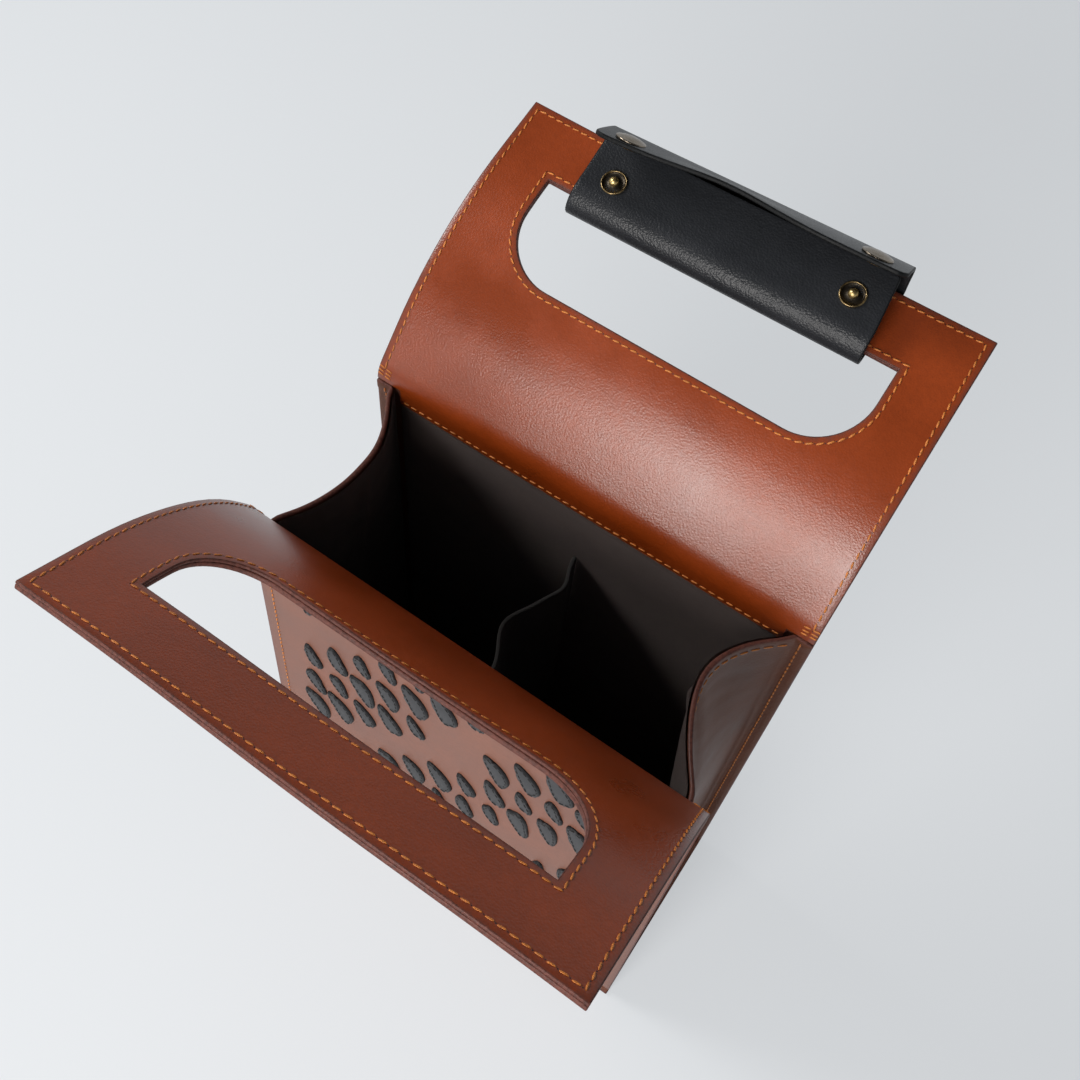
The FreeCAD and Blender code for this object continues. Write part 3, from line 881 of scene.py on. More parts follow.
def gusset_bend(bm, sizes, sign):
    """Bend a flat gusset: X runs from front to rear over both flanges, Y up, and Z is the offset outwards."""
    web = sizes.mouth_depth / 2
    hem = gusset_top(sizes) - HEM
    root = gusset_root(sizes)
    for vert in bm.verts:
        across, z, offset = vert.co
        wall = wall_inside(sizes, z) - WALL_GAP
        offset *= 1 + HEM_SWELL * smooth_step(hem - MM, hem, z)
        beyond = abs(across) - web
        if beyond > 0:
            x = root + beyond
            y = math.copysign(wall - offset, across)
        else:
            x, y = gusset_spot(sizes, sign, across / web, z, 0.0)
            x += offset
            y *= (wall - sizes.gusset_leather / 2) / wall
        vert.co = (sign * x, y, z)


def soften_roots(bm, sizes):
    """Smooth the bends from a gusset's web to its flanges."""
    root = gusset_root(sizes)
    roots = [vert for vert in bm.verts
             if abs(abs(vert.co.x) - root) < ROOT_WIDTH
             and abs(vert.co.y) > wall_inside(sizes, vert.co.z) - ROOT_REACH]
    for _ in range(ROOT_ROUNDS):
        bmesh.ops.smooth_vert(bm, verts=roots, factor=ROOT_FACTOR, use_axis_x=True, use_axis_y=True)


class CARRIER_OT_gussets(bpy.types.Operator):
    """Gussets: folded inwards at the mouth, hemmed, with flanges sewn to the panels"""

    bl_idname = "carrier.gussets"
    bl_label = "Gussets"

    def execute(self, context):
        sizes = context.scene.carrier_sizes
        thick = sizes.gusset_leather
        top = gusset_top(sizes)
        low = sizes.base_leather
        web = sizes.mouth_depth / 2
        hem = top - HEM + HEM_STITCH
        for sign, name in HANDS.items():
            bm = flat_sheet(web + sizes.seam_width, low, top, GUSSET_CELL)
            thicken(bm, 0.0, thick, SOFT_ROUND)
            gusset_bend(bm, sizes, sign)
            soften_roots(bm, sizes)
            sewn = bmesh.new()
            stitch_run(sewn, [(-web + HEM_ENDS, hem), (web - HEM_ENDS, hem)], sizes, thick)
            for end in (-1, 1):
                seam = end * (web + sizes.seam_width / 2)
                stitch_run(sewn, [(seam, low + SEAM_LOW), (seam, top - SEAM_HIGH)], sizes, thick)
            gusset_bend(sewn, sizes, sign)
            add_piece(bm, name + "_gusset_leather", ("gusset", "edge"), (name + "_gusset",), "carrier")
            add_piece(sewn, name + "_gusset_stitching", ("thread", "hole"), body="carrier")
        return {"FINISHED"}


# Linings: size of the cells, gap to the leather and how far they go up under the facings
LINING_CELL = 5 * MM
LINING_GAP = 0.05 * MM
LINING_TUCK = 0.2 * MM
# Linings of the gussets: cells across and up, how much of the web they cover, gap to the leather, and
# distance below the top
FOLD_CELLS = (40, 70)
FOLD_COVER = 0.955
FOLD_GAP = 0.15 * MM
FOLD_DROP = 0.6 * MM


class CARRIER_OT_linings(bpy.types.Operator):
    """Napped lining of the walls and the gussets"""

    bl_idname = "carrier.linings"
    bl_label = "Linings"

    def execute(self, context):
        sizes = context.scene.carrier_sizes
        floor_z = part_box("base_lining")[1].z
        self.walls(sizes, floor_z)
        self.gussets(sizes, floor_z)
        return {"FINISHED"}

    def walls(self, sizes, floor_z):
        """Add the linings of the walls."""
        half = lining_half(sizes)
        face = sizes.outer_leather - half_stack(sizes)
        low = floor_z - wall_run(sizes)
        for side, name in SIDES.items():
            bm = flat_sheet(half, low, -sizes.facing_drop + LINING_TUCK, LINING_CELL)
            thicken(bm, face + LINING_GAP, face + sizes.lining, CLOTH_ROUND, 1)
            side_bend(bm, sizes, side)
            title = name + "_lining_cloth"
            piece = add_piece(bm, title, ("lining", "lining"), (name + "_lining",), "carrier")

    def gussets(self, sizes, floor_z):
        """Add the linings of the gussets."""
        top = gusset_top(sizes)
        for sign, name in HANDS.items():
            bm = grid_sheet(1.0, floor_z, top - FOLD_DROP, *FOLD_CELLS)
            bmesh.ops.solidify(bm, geom=bm.faces[:], thickness=sizes.lining)
            for vert in bm.verts:
                inset = FOLD_GAP if vert.co.z > sizes.lining / 2 else FOLD_GAP + sizes.lining
                x, y = gusset_spot(sizes, sign, vert.co.x * FOLD_COVER, vert.co.y, inset)
                vert.co = (sign * x, y, vert.co.y)
            title = name + "_gusset_lining_cloth"
            piece = add_piece(bm, title, ("lining",), (name + "_gusset_lining",), "carrier")


# Divider: thickness, half depth and cells of its flat sheet, gap to the linings, and the height above the
# floor where its slack starts
DIVIDER_THICK = 1.8 * MM
DIVIDER_HALF = 0.047
DIVIDER_CELLS = (44, 60)
DIVIDER_GAP = 0.3 * MM
DIVIDER_START = 0.05
# Bends of the divider's slack top edge: reach, place from front -1 to rear 1, and spread
DIVIDER_BENDS = ((-9.5 * MM, 0.05, 0.33), (3.2 * MM, 0.70, 0.15))


class CARRIER_OT_divider(bpy.types.Operator):
    """Suede divider between the bottles, with a slack top edge"""

    bl_idname = "carrier.divider"
    bl_label = "Divider"

    def execute(self, context):
        sizes = context.scene.carrier_sizes
        floor_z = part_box("base_lining")[1].z
        bm = grid_sheet(DIVIDER_HALF, floor_z, sizes.divider_height, *DIVIDER_CELLS)
        thicken(bm, -DIVIDER_THICK / 2, DIVIDER_THICK / 2, WRAP_ROUND)
        for vert in bm.verts:
            t = vert.co.x / DIVIDER_HALF
            up = smooth_step(floor_z + DIVIDER_START, sizes.divider_height, vert.co.y)
            z = vert.co.y - sizes.divider_dip * (1 - t * t) * up
            y = t * (wall_inside(sizes, z) - sizes.lining - DIVIDER_GAP)
            slack = 0.0
            for reach, place, spread in DIVIDER_BENDS:
                slack += reach * math.exp(-((t - place) / spread) ** 2)
            vert.co = (vert.co.z + up * slack, y, z)
        nodes = ("divider_left_ply", "divider_right_ply")
        piece = add_piece(bm, "divider_suede_sheet", ("suede", "suede"), nodes, "carrier")
        return {"FINISHED"}


class CARRIER_OT_base(bpy.types.Operator):
    """Base: leather panel with rounded edges, its board and the floor lining"""

    bl_idname = "carrier.base"
    bl_label = "Base"

    def execute(self, context):
        sizes = context.scene.carrier_sizes
        bm = flat_sheet(sizes.panel_width / 2, -sizes.base_depth / 2, sizes.base_depth / 2, LINING_CELL)
        thicken(bm, 0.0, sizes.base_leather, SOFT_ROUND)
        add_piece(bm, "base_leather", ("base", "edge"), ("base_panel",), "carrier")
        board_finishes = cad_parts["base_board"].data.materials
        board_finishes.clear()
        board_finishes.append(finish("board"))
        low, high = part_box("base_lining")
        bm = flat_sheet(high.x, low.y, high.y, LINING_CELL)
        thicken(bm, low.z, high.z, CLOTH_ROUND, 1)
        title = "base_lining_cloth"
        piece = add_piece(bm, title, ("lining", "lining"), ("base_lining",), "carrier")
        return {"FINISHED"}


# Patches, laid out as in the CAD model, with lengths in millimetres
PATCH = {
    "long": 25.0, "wide": 11.0, "margin": 21.0, "row": 27.0, "step": 14.2, "band": 112.0, "share": 0.7,
    "slope": 1.3, "sway": 60.0, "lean": 0.22, "tilt": 0.2, "shrink": 0.32, "uneven": 0.11, "square": 0.02,
}
# Their thickness and how far they sink in, sides and rounding of their outline, and the steps, inset in
# millimetres and size of the stitching on them
PATCH_THICK = 1.2 * MM
PATCH_SINK = 0.15 * MM
PATCH_SIDES = 26
PATCH_ROUND = 0.85 * MM
PATCH_SEAM_STEPS = 24
PATCH_SEAM_INSET = 1.5
PATCH_STITCH = 0.85


def patch_places(sizes):
    """Place, tilt and size of each patch: across and down from the fold, in millimetres."""
    columns = int((sizes.panel_width / MM - 2 * PATCH["margin"]) // PATCH["step"]) + 1
    rows = int((wall_run(sizes) / MM - 2 * PATCH["margin"] - PATCH["row"] / 2) // PATCH["row"]) + 1
    for column in range(columns):
        x = (column - (columns - 1) / 2) * PATCH["step"]
        for row in range(rows):
            drop = PATCH["margin"] + (row + column % 2 / 2) * PATCH["row"]
            if (drop + PATCH["slope"] * x) / PATCH["band"] % 1.0 < PATCH["share"]:
                tilt = PATCH["lean"] + PATCH["tilt"] * math.sin((x + drop) / PATCH["sway"])
                size = 1 - PATCH["shrink"] * (0.5 + 0.5 * math.sin(1.7 * column + 2.3 * row))
                yield x, drop, tilt, size


def patch_spot(x, drop, tilt, size, turn, inset=0.0):
    """Point of a patch's outline, on the flat panel, in metres."""
    swell = 1 + PATCH["uneven"] * math.sin(3 * turn + x + drop) - PATCH["square"] * math.cos(4 * turn)
    forth = (PATCH["long"] / 2 * size * swell - inset) * math.cos(turn)
    across = (PATCH["wide"] / 2 * size * swell - inset) * math.sin(turn)
    side = forth * math.sin(tilt) + across * math.cos(tilt)
    down = drop + forth * math.cos(tilt) - across * math.sin(tilt)
    return (x + side) * MM, -down * MM


class CARRIER_OT_patches(bpy.types.Operator):
    """Raised grey patches on the front panel, each with a sewn outline"""

    bl_idname = "carrier.patches"
    bl_label = "Patches"

    def execute(self, context):
        sizes = context.scene.carrier_sizes
        level = -half_stack(sizes)
        face = level - PATCH_THICK
        turns = [2 * math.pi * step / PATCH_SEAM_STEPS for step in range(PATCH_SEAM_STEPS + 1)]
        bm = bmesh.new()
        sewn = bmesh.new()
        for place in patch_places(sizes):
            outline = bmesh.ops.create_circle(bm, cap_ends=True, segments=PATCH_SIDES, radius=1.0)["verts"]
            for vert in outline:
                x, y = patch_spot(*place, math.atan2(vert.co.y, vert.co.x))
                vert.co = (x, y, level + PATCH_SINK)
            cap = outline[0].link_faces[0]
            raised = bmesh.ops.extrude_face_region(bm, geom=[cap])["geom"]
            for vert in verts_of(raised):
                vert.co.z = face
            top = [item for item in raised if isinstance(item, bmesh.types.BMFace)]
            round_off(bm, [edge for item in top for edge in item.edges], PATCH_ROUND, 2)
            points = [patch_spot(*place, turn, PATCH_SEAM_INSET) for turn in turns]
            stitch_run(sewn, points, sizes, face, scale=PATCH_STITCH, holes=False)
        mark_rim(bm)
        side_bend(bm, sizes, -1)
        side_bend(sewn, sizes, -1)
        add_piece(bm, "front_patches", ("patch", "patch_edge"), ("front_applique",), "carrier")
        add_piece(sewn, "front_patch_stitching", ("dark_thread",), body="carrier")
        return {"FINISHED"}


# Seams: start of the flaps' seam above the fold; side seams' inset, gap to the foot and gap to the fold; foot
# seam's gap to the sides and to the foot; mouth seam's gap to the facing's sides and to its edge
FLAP_SEAM = 1.5 * MM
SIDE_SEAM = (6.2 * MM, 5 * MM, 3 * MM)
FOOT_SEAM = (12 * MM, 5.5 * MM)
MOUTH_SEAM = (1.5 * MM, 2.4 * MM)
# Tacks at the ends of the folds, in millimetres: heights, reach in and out from the flaps' seam, and slope
TACK_RISES = (-1.6, 0.0, 1.6)
TACK_IN = 4
TACK_OUT = 3.2
TACK_SLOPE = 0.8


class CARRIER_OT_stitching(bpy.types.Operator):
    """Saddle stitching round the flaps and cut-outs, and down the seams"""

    bl_idname = "carrier.stitching"
    bl_label = "Stitching"

    def execute(self, context):
        sizes = context.scene.carrier_sizes
        half = half_stack(sizes)
        side_edge = sizes.panel_width / 2
        edge = side_edge - sizes.stitch_inset
        top = sizes.flap_length - sizes.stitch_inset
        foot = sizes.base_leather - wall_run(sizes)
        round_flap = [(-edge, FLAP_SEAM), (-edge, top), (edge, top), (edge, FLAP_SEAM)]
        across = side_edge - FOOT_SEAM[0]
        low = foot + FOOT_SEAM[1]
        inner = lining_half(sizes) - MOUTH_SEAM[0]
        mouth = -sizes.facing_drop + MOUTH_SEAM[1]
        for side, name in SIDES.items():
            bm = bmesh.new()
            slant = STITCH_SLANT * side
            for level in (half, -half):
                stitch_run(bm, round_flap, sizes, level, slant)
                stitch_run(bm, cutout_line(sizes, sizes.cutout_inset), sizes, level, slant)
            for sign in (-1, 1):
                seam = sign * (side_edge - SIDE_SEAM[0])
                stitch_run(bm, [(seam, foot + SIDE_SEAM[1]), (seam, -SIDE_SEAM[2])], sizes, -half, slant)
            stitch_run(bm, [(-across, low), (across, low)], sizes, -half, slant)
            for sign in (-1, 1):
                for rise in TACK_RISES:
                    start = (sign * (edge - TACK_IN * MM), rise * MM)
                    end = (sign * (edge + TACK_OUT * MM), (rise + TACK_SLOPE) * MM)
                    stitch_run(bm, [start, end], sizes, half, holes=False)
            stitch_run(bm, [(-inner, mouth), (inner, mouth)], sizes, half, slant)
            side_bend(bm, sizes, side)
            piece = add_piece(bm, name + "_stitching", ("thread", "hole"))
            blend_over_fold(piece, sizes, side)
        return {"FINISHED"}


# Grip wrap, in the frame of the rear rail: u outwards along the rail, v towards its inner face
WRAP_SPLIT = -14.0 * MM
WRAP_BEND_U = -30.2 * MM
WRAP_BACK_V = -2.6 * MM
CLOSING_HINGE = (2.5 * MM, 13.0 * MM)
WRAP_CELL = 1.6 * MM
# Slopes of the wrap across the rail: of its front leaf, where that sets in on its back, of its top fold, and
# the height where that sets in
WRAP_SKEW = 0.0195
BACK_START = (-2 * MM, -12 * MM)
TOP_SKEW = 0.040
TOP_START = 1.5 * MM
# Bends of the front leaf: radius and turn of the bottom fold, run of the last bend, and flare of the leaf
FRONT_BENDS = ((5.0 * MM, math.radians(120)), (11.0 * MM, math.radians(53)))
LAST_BEND = 1 * MM
LEAF_FLARE = math.radians(5)
# Bends of the closing leaf: radius over the rail's edge, half the run of its fold, and its curl
TOP_BEND = 3.0 * MM
FOLD_HALF = 2.5 * MM
CLOSING_CURL = math.radians(6)
# Unevenness of the leaves: half the length that it is measured on, opening of the closing leaf, how much
# less its left end opens and where that starts, and the bulge of its edge: reach, place, spread, and the
# distances along the leaf between which it rises
WRAP_HALF = 0.065
LEAF_OPENING = math.radians(1.5)
LEFT_CLOSING = math.radians(2.2)
LEFT_START = -0.01
BULGE = (2.2 * MM, -0.006, 0.024)
BULGE_START = (0.010, 0.028)
# Twist of the front leaf, and lean of each leaf along the rail: in its middle and added towards its right end
FRONT_TWIST = math.radians(3.2)
FRONT_SHEAR = (-0.07, -0.035)
CLOSING_SHEAR = (0.055, -0.01)


def rail_frame(sizes):
    """Outer edge of the rear rail, with its directions along u and v."""
    y, z, heading = along(side_path(sizes, 1), wall_run(sizes) + sizes.flap_length)
    u_way = Vector((0, math.cos(heading), math.sin(heading)))
    v_way = Vector((0, -math.sin(heading), math.cos(heading)))
    return Vector((0, y, z)), u_way, v_way


def top_skew(u, v):
    """Slope of the wrap across the rail, from its back over the edge of the rail to the leaning top fold."""
    if v < 0:
        return WRAP_SKEW * smooth_step(*BACK_START, u)
    return TOP_SKEW * smooth_step(TOP_START, CLOSING_HINGE[1], v)


def rail_place(sizes, skew):
    """Function that places a point of the rail's frame in the carrier; the wrap sits a little askew."""
    edge, u_way, v_way = rail_frame(sizes)
    return lambda x, u, v: edge + Vector((x, 0, 0)) + u_way * (u + skew(u, v) * x) + v_way * v


def front_wrap_path(sizes):
    """From the middle of the wrap's back, round the bottom fold to the front leaf's edge."""
    runs = [(WRAP_SPLIT - WRAP_BEND_U, 0.0)]
    runs += [(radius * turn, -turn) for radius, turn in FRONT_BENDS]
    last = sizes.front_open - LEAF_FLARE / 2 - math.pi + sum(turn for radius, turn in FRONT_BENDS)
    runs += [(LAST_BEND, last), (sizes.front_leaf - LAST_BEND, LEAF_FLARE)]
    return (WRAP_SPLIT, WRAP_BACK_V), math.pi, runs


def closing_wrap_path(sizes):
    """From the middle of the wrap's back, over its top to the closing leaf's edge."""
    bend_u = CLOSING_HINGE[0] - TOP_BEND
    riser = CLOSING_HINGE[1] - WRAP_BACK_V - TOP_BEND - FOLD_HALF
    over = math.pi / 2 - sizes.closing_open
    runs = [
        (bend_u - WRAP_SPLIT, 0.0),
        (math.pi / 2 * TOP_BEND, math.pi / 2),
        (riser, 0.0),
        (2 * FOLD_HALF, over - CLOSING_CURL / 2),
        (sizes.closing_leaf - FOLD_HALF, CLOSING_CURL),
    ]
    return (WRAP_SPLIT, WRAP_BACK_V), 0.0, runs


def closing_twist(x, beyond):
    """Offset of the closing leaf: its left end closes further, and its edge bulges between the studs."""
    opening = LEAF_OPENING - LEFT_CLOSING * smooth_step(LEFT_START, -WRAP_HALF, x)
    reach, place, spread = BULGE
    bulge = reach * math.exp(-((x - place) / spread) ** 2) * smooth_step(*BULGE_START, beyond)
    return -math.tan(opening) * max(0.0, beyond) - bulge


def front_twist(x, beyond):
    """Offset of the front leaf: its right end stands further off the rail."""
    return math.tan(FRONT_TWIST * x / WRAP_HALF) * max(0.0, beyond)


def leaf_shift(shear, x, beyond):
    """Shift of a leaf along the rail: the leather is pulled askew in its own plane."""
    middle, added = shear
    return (middle + added * x / WRAP_HALF) * max(0.0, beyond)


def wrap_strips(sizes):
    """Path, placing, twist and shear of the wrap's two strips, with the length before their leaves."""
    front = front_wrap_path(sizes)
    closing = closing_wrap_path(sizes)
    return {
        "front": (front, rail_place(sizes, lambda u, v: WRAP_SKEW), front_twist, FRONT_SHEAR,
                  path_length(front) - sizes.front_leaf),
        "closing": (closing, rail_place(sizes, top_skew), closing_twist, CLOSING_SHEAR,
                    path_length(closing) - sizes.closing_leaf),
    }


def round_corners(bm, half, top, radius):
    """Round the two upper corners of a flat sheet."""
    for vert in bm.verts:
        a = (abs(vert.co.x) - half + radius) / radius
        b = (vert.co.y - top + radius) / radius
        if a > 0 and b > 0:
            vert.co.x = math.copysign(half - radius + radius * a * math.sqrt(1 - b * b / 2), vert.co.x)
            vert.co.y = top - radius + radius * b * math.sqrt(1 - a * a / 2)


# Pieces of the wrap: strip, name, leaf's body, CAD nodes, heights above the rail in millimetres between which
# it bends, and radius of the leaf's corners
WRAP_PIECES = (
    ("front", "wrap_front", "front_leaf", ("wrap_front_leaf",), (0.2, 6.0), 1.5 * MM),
    ("closing", "wrap_top", "closing_leaf", ("wrap_closing_leaf", "wrap_sleeve"), (10.5, 16.5), 5.0 * MM),
)


class CARRIER_OT_grip_wrap(bpy.types.Operator):
    """Black leather wrap on the rear rail: its back, the front leaf and the closing leaf"""

    bl_idname = "carrier.grip_wrap"
    bl_label = "Grip wrap"

    def execute(self, context):
        sizes = context.scene.carrier_sizes
        half = sizes.wrap_length / 2
        thick = sizes.wrap_leather / 2
        edge, _, v_way = rail_frame(sizes)
        strips = wrap_strips(sizes)
        for strip, name, body, nodes, levels, corner in WRAP_PIECES:
            path, place, twist, shear, before = strips[strip]
            top = path_length(path)
            bm = flat_sheet(half, 0.0, top, WRAP_CELL)
            round_corners(bm, half, top, corner)
            thicken(bm, -thick, thick, WRAP_ROUND)
            for vert in bm.verts:
                vert.co.x += leaf_shift(shear, vert.co.x, vert.co.y - before)
            bend(bm, path, place, lambda x, distance: twist(x, distance - before))
            piece = add_piece(bm, name, ("wrap", "wrap_edge"), nodes)
            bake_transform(piece)
        return {"FINISHED"}


# Press studs: steps of a full turn, and the distance within which points are merged

SPIN_STEPS = 40
MERGE = 1e-5


def spun(profile):
    """Turn a profile of (radius, height) points in millimetres about the Z axis."""
    bm = bmesh.new()
    verts = [bm.verts.new((max(0.0, radius) * MM, 0, height * MM)) for radius, height in profile]
    edges = [bm.edges.new(pair) for pair in zip(verts, verts[1:])]
    bmesh.ops.spin(bm, geom=verts + edges, cent=(0, 0, 0), axis=(0, 0, 1), dvec=(0, 0, 0),
                   angle=2 * math.pi, steps=SPIN_STEPS, use_merge=True)
    bmesh.ops.remove_doubles(bm, verts=bm.verts[:], dist=MERGE)
    outward(bm)
    return bm


def arc_points(centre, radius, first, last, steps):
    """Points of an arc in a profile; angles in degrees."""
    spots = []
    for step in range(steps + 1):
        turn = math.radians(first + (last - first) * step / steps)
        spots.append((centre[0] + radius * math.cos(turn), centre[1] + radius * math.sin(turn)))
    return spots


SNAP_PROFILES = {
    "stud": [(5.3, -0.1), (5.3, 0.45), *arc_points((4.95, 0.55), 0.4, 0, 170, 6), (4.4, 0.25), (3.2, 0.15),
             (1.65, 0.3), (1.5, 0.6), *arc_points((0.0, 1.05), 2.05, -32, 90, 10)],
    "eyelet": [(1.1, -0.2), (4.2, -0.2), (4.5, -0.45), (4.2, -0.65), (1.4, -0.55), (1.1, -0.2)],
    "cap": [(5.4, -0.1), (6.2, 0.0), *arc_points((5.88, 0.42), 0.42, -40, 80, 5), (5.5, 0.9), (4.4, 1.35),
            (2.9, 1.7), (1.4, 1.87), (0.0, 1.92)],
    "socket": [(3.6, -0.1), (5.0, -0.1), (5.1, -0.5), (4.8, -0.8), (4.1, -0.9), (3.6, -0.75), (3.6, -0.1)],
}
# Parts of a stud, in millimetres: the ball's radius and lowest height, the dark dish's inner and outer radius
# and greatest height, and the same of the rays in the dish, with their number and height
STUD_BALL = (2.4, 0.5)
STUD_DISH = (1.5, 4.5, 0.6)
STUD_RAYS = (1.7, 4.0, 0.5)
RAY_COUNT = 20
RAY_HEIGHT = 0.12

# How far the left and right press studs are along the leaves
STUD_REACH = {-1: 6.2 * MM, 1: 9.5 * MM}
CAP_REACH = {-1: 20.2 * MM, 1: 19.4 * MM}
# Pieces of the press studs: kind, strip, reach, body, way that they face, face of the leather and finish
SNAPS = (
    ("stud", "front", STUD_REACH, "front_leaf", 1, 1, "brass"),
    ("eyelet", "front", STUD_REACH, "front_leaf", 1, -1, "brass"),
    ("cap", "closing", CAP_REACH, "closing_leaf", -1, 1, "cap"),
    ("socket", "closing", CAP_REACH, "closing_leaf", -1, -1, "brass"),
)


def snap_mesh(kind):
    """One kind of piece about the Z axis; a stud has a dark dish with rays and a bright ball."""
    bm = spun(SNAP_PROFILES[kind])
    if kind != "stud":
        return bm
    for face in bm.faces:
        middle = face.calc_center_median()
        reach = math.hypot(middle.x, middle.y) / MM
        if reach < STUD_BALL[0] and middle.z > STUD_BALL[1] * MM:
            face.material_index = 2
        elif STUD_DISH[0] < reach < STUD_DISH[1] and middle.z < STUD_DISH[2] * MM:
            face.material_index = 1
    for vert in bm.verts:
        reach = math.hypot(vert.co.x, vert.co.y) / MM
        if STUD_RAYS[0] < reach < STUD_RAYS[1] and vert.co.z < STUD_RAYS[2] * MM:
            vert.co.z += RAY_HEIGHT * MM * math.cos(RAY_COUNT * math.atan2(vert.co.y, vert.co.x))
    return bm


def snap_matrix(strip, x, reach, facing, level):
    """Matrix that sets a piece on a leaf, at a distance along it and a level in its leather."""
    path, place, twist, shear, before = strip
    x += leaf_shift(shear, x, reach)
    way = before + reach
    a, b, heading = along(path, way)

    def spot(across, height):
        offset = facing * height + twist(across, way - before)
        return place(across, a - math.sin(heading) * offset, b + math.cos(heading) * offset)

    centre = spot(x, level)
    side_way = (spot(x + MM, level) - spot(x - MM, level)).normalized()
    up_way = (spot(x, level + MM) - centre).normalized()
    side_way = (side_way - up_way * side_way.dot(up_way)).normalized()
    turn = Matrix((side_way, up_way.cross(side_way), up_way)).transposed().to_4x4()
    return Matrix.Translation(centre) @ turn


class CARRIER_OT_snaps(bpy.types.Operator):
    """Antique brass press studs: studs and eyelets on the front leaf, caps and sockets on the closing leaf"""

    bl_idname = "carrier.snaps"
    bl_label = "Press studs"

    def execute(self, context):
        sizes = context.scene.carrier_sizes
        strips = wrap_strips(sizes)
        for kind, strip, reaches, body, facing, layer, skin in SNAPS:
            level = layer * sizes.wrap_leather / 2
            for sign, reach in reaches.items():
                bm = snap_mesh(kind)
                spot = snap_matrix(strips[strip], sign * sizes.snap_spacing / 2, reach, facing, level)
                bmesh.ops.transform(bm, matrix=spot, verts=bm.verts[:])
                name = HANDS[sign] + "_" + kind
                nodes = (HANDS[sign] + "_snap_" + kind,)
                add_piece(bm, name, (skin, "bronze", "ball"), nodes, body)
        return {"FINISHED"}


# Camera, from the photograph's viewing angle
VIEW = {
    "azimuth": 31.195, "elevation": 57.05, "roll": 4.357, "eye": (0.107958, -0.209434, 0.758914),
    "focal": 1358.569, "centre": (498.169, 418.833), "image": 1080.0, "sensor": 36.0, "nearest": 0.01,
}
# Lights: name, place, target, size, power and colour
LIGHTS = (
    ("key", (0.0, -1.25, 0.86), (0.0, 0.08, 0.32), 0.8, 20.0, (1.0, 0.97, 0.94)),
    ("fill", (-1.25, -0.19, 1.28), (0.0, 0.0, 0.30), 0.7, 16.0, (1.0, 0.99, 0.97)),
)
# Sky: its colours below and above, and the heights between which they mix
SKY_LOW = (0.70, 0.73, 0.76)
SKY_HIGH = (0.10, 0.105, 0.11)
SKY_RISE = (0.18, 0.5)
# Floor: half its size, distance below the carrier, roughness, and strength and colour factor of its glow
FLOOR_HALF = 6.0
FLOOR_DROP = 0.0002
FLOOR_ROUGH = 0.9
FLOOR_GLOW = 0.5
GLOW_TONE = 3.0


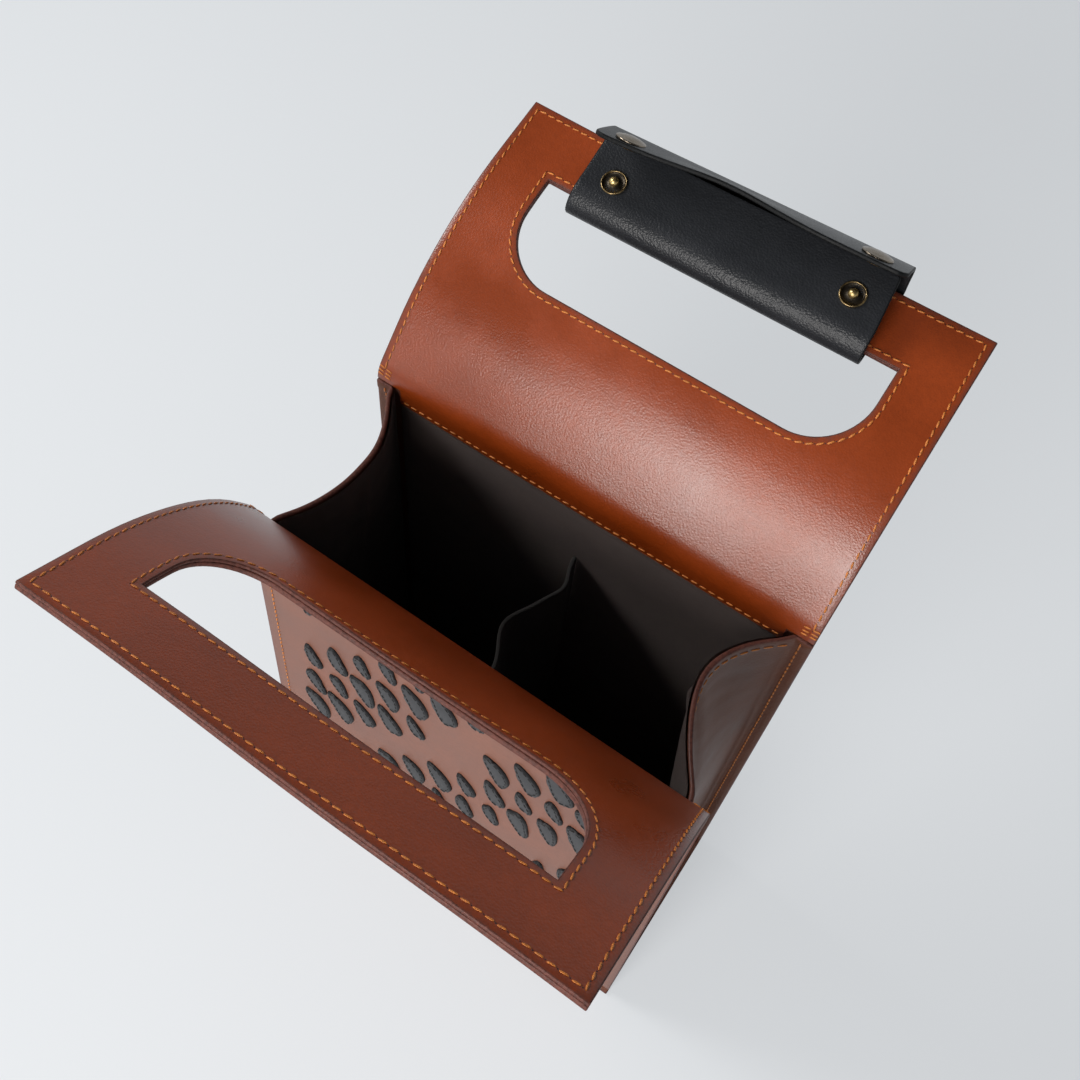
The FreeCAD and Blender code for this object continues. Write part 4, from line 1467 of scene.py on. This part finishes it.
class CARRIER_OT_stage(bpy.types.Operator):
    """Camera, soft studio lights and a pale floor"""

    bl_idname = "carrier.stage"
    bl_label = "Stage"

    def execute(self, context):
        self.camera(context)
        self.lights(context)
        self.sky(context)
        self.floor()
        return {"FINISHED"}

    def camera(self, context):
        """Add the camera."""
        azimuth, elevation, roll = (math.radians(VIEW[key]) for key in ("azimuth", "elevation", "roll"))
        level = math.cos(elevation)
        back = Vector((math.sin(azimuth) * level, -math.cos(azimuth) * level, math.sin(elevation)))
        right = (-back).cross(Vector((0, 0, 1))).normalized()
        up = right.cross(-back)
        across = right * math.cos(roll) + up * math.sin(roll)
        over = up * math.cos(roll) - right * math.sin(roll)
        data = bpy.data.cameras.new("view")
        data.sensor_width = VIEW["sensor"]
        data.lens = data.sensor_width * VIEW["focal"] / VIEW["image"]
        data.shift_x = (VIEW["image"] / 2 - VIEW["centre"][0]) / VIEW["image"]
        data.shift_y = (VIEW["centre"][1] - VIEW["image"] / 2) / VIEW["image"]
        data.clip_start = VIEW["nearest"]
        camera = bpy.data.objects.new("view", data)
        turn = Matrix((across, over, back)).transposed().to_4x4()
        camera.matrix_world = Matrix.Translation(VIEW["eye"]) @ turn
        context.scene.collection.objects.link(camera)
        context.scene.camera = camera

    def lights(self, context):
        """Add the lights."""
        for name, spot, target, size, power, tone in LIGHTS:
            data = bpy.data.lights.new(name, "AREA")
            data.shape = "DISK"
            data.size = size
            data.energy = power
            data.color = tone
            lamp = bpy.data.objects.new(name, data)
            way = Vector(target) - Vector(spot)
            lamp.matrix_world = Matrix.Translation(spot) @ way.to_track_quat("-Z", "Y").to_matrix().to_4x4()
            context.scene.collection.objects.link(lamp)

    def sky(self, context):
        """Set the sky, brighter low down than overhead, and the view transform."""
        world = bpy.data.worlds.new("studio")
        world.use_nodes = True
        tree = world.node_tree
        way = add_node(tree, "ShaderNodeTexCoord").outputs["Generated"]
        height = add_node(tree, "ShaderNodeSeparateXYZ")
        tree.links.new(way, height.inputs[0])
        tone = mix_colour(tree, span(tree, height.outputs["Z"], *SKY_RISE), SKY_LOW, SKY_HIGH)
        tree.links.new(tone, tree.nodes["Background"].inputs["Color"])
        context.scene.world = world
        context.scene.view_settings.view_transform = "Standard"

    def floor(self):
        """Add the floor, which glows for the camera, in reflections and through clear things."""
        bm = bmesh.new()
        bmesh.ops.create_grid(bm, x_segments=1, y_segments=1, size=FLOOR_HALF)
        bmesh.ops.translate(bm, vec=(0, 0, -FLOOR_DROP), verts=bm.verts[:])
        material, tree, shader, coords = surface("pale_floor")
        pale = paint("floor")
        cloud = noise_node(tree, coords, 1.4, 2.0, 0.5)
        tone = mix_colour(tree, span(tree, cloud, *MID), shade(pale, 0.98), pale)
        tree.links.new(tone, shader.inputs["Base Color"])
        shader.inputs["Roughness"].default_value = FLOOR_ROUGH
        path = add_node(tree, "ShaderNodeLightPath")
        seen = maths(tree, "ADD", path.outputs["Is Camera Ray"], path.outputs["Is Glossy Ray"])
        seen = maths(tree, "ADD", seen, path.outputs["Is Transmission Ray"])
        tree.links.new(maths(tree, "MULTIPLY", seen, FLOOR_GLOW), shader.inputs["Emission Strength"])
        shader.inputs["Emission Color"].default_value = (*shade(pale, GLOW_TONE), 1.0)
        finish_mesh(bm, "floor", [material], smooth=False)


class CARRIER_PT_panel(bpy.types.Panel):
    """Lists the carrier's pieces, sizes and colours"""

    bl_idname = "CARRIER_PT_panel"
    bl_label = "Bottle carrier"
    bl_space_type = "VIEW_3D"
    bl_region_type = "UI"
    bl_category = "Carrier"

    def draw(self, context):
        column = self.layout.column()
        for operator in OPERATORS:
            column.operator(operator.bl_idname)
        for group in (context.scene.carrier_sizes, context.scene.carrier_colours):
            for key in group.__annotations__:
                column.prop(group, key)


OPERATORS = (
    CARRIER_OT_outer_leather,
    CARRIER_OT_facings,
    CARRIER_OT_gussets,
    CARRIER_OT_linings,
    CARRIER_OT_divider,
    CARRIER_OT_base,
    CARRIER_OT_patches,
    CARRIER_OT_stitching,
    CARRIER_OT_grip_wrap,
    CARRIER_OT_snaps,
    CARRIER_OT_stage,
)
CLASSES = (CarrierSizes, CarrierColours, *OPERATORS, CARRIER_PT_panel)


def register():
    """Register the classes and the scene's settings."""
    for item in CLASSES:
        bpy.utils.register_class(item)
    bpy.types.Scene.carrier_sizes = bpy.props.PointerProperty(type=CarrierSizes)
    bpy.types.Scene.carrier_colours = bpy.props.PointerProperty(type=CarrierColours)


def unregister():
    """Remove the classes and the scene's settings."""
    del bpy.types.Scene.carrier_colours
    del bpy.types.Scene.carrier_sizes
    for item in reversed(CLASSES):
        bpy.utils.unregister_class(item)


def main():
    """Build every piece."""
    register()
    bpy.ops.carrier.outer_leather()
    bpy.ops.carrier.facings()
    bpy.ops.carrier.gussets()
    bpy.ops.carrier.linings()
    bpy.ops.carrier.divider()
    bpy.ops.carrier.base()
    bpy.ops.carrier.patches()
    bpy.ops.carrier.stitching()
    bpy.ops.carrier.grip_wrap()
    bpy.ops.carrier.snaps()
    bpy.ops.carrier.stage()


if __name__ == "__main__":
    main()
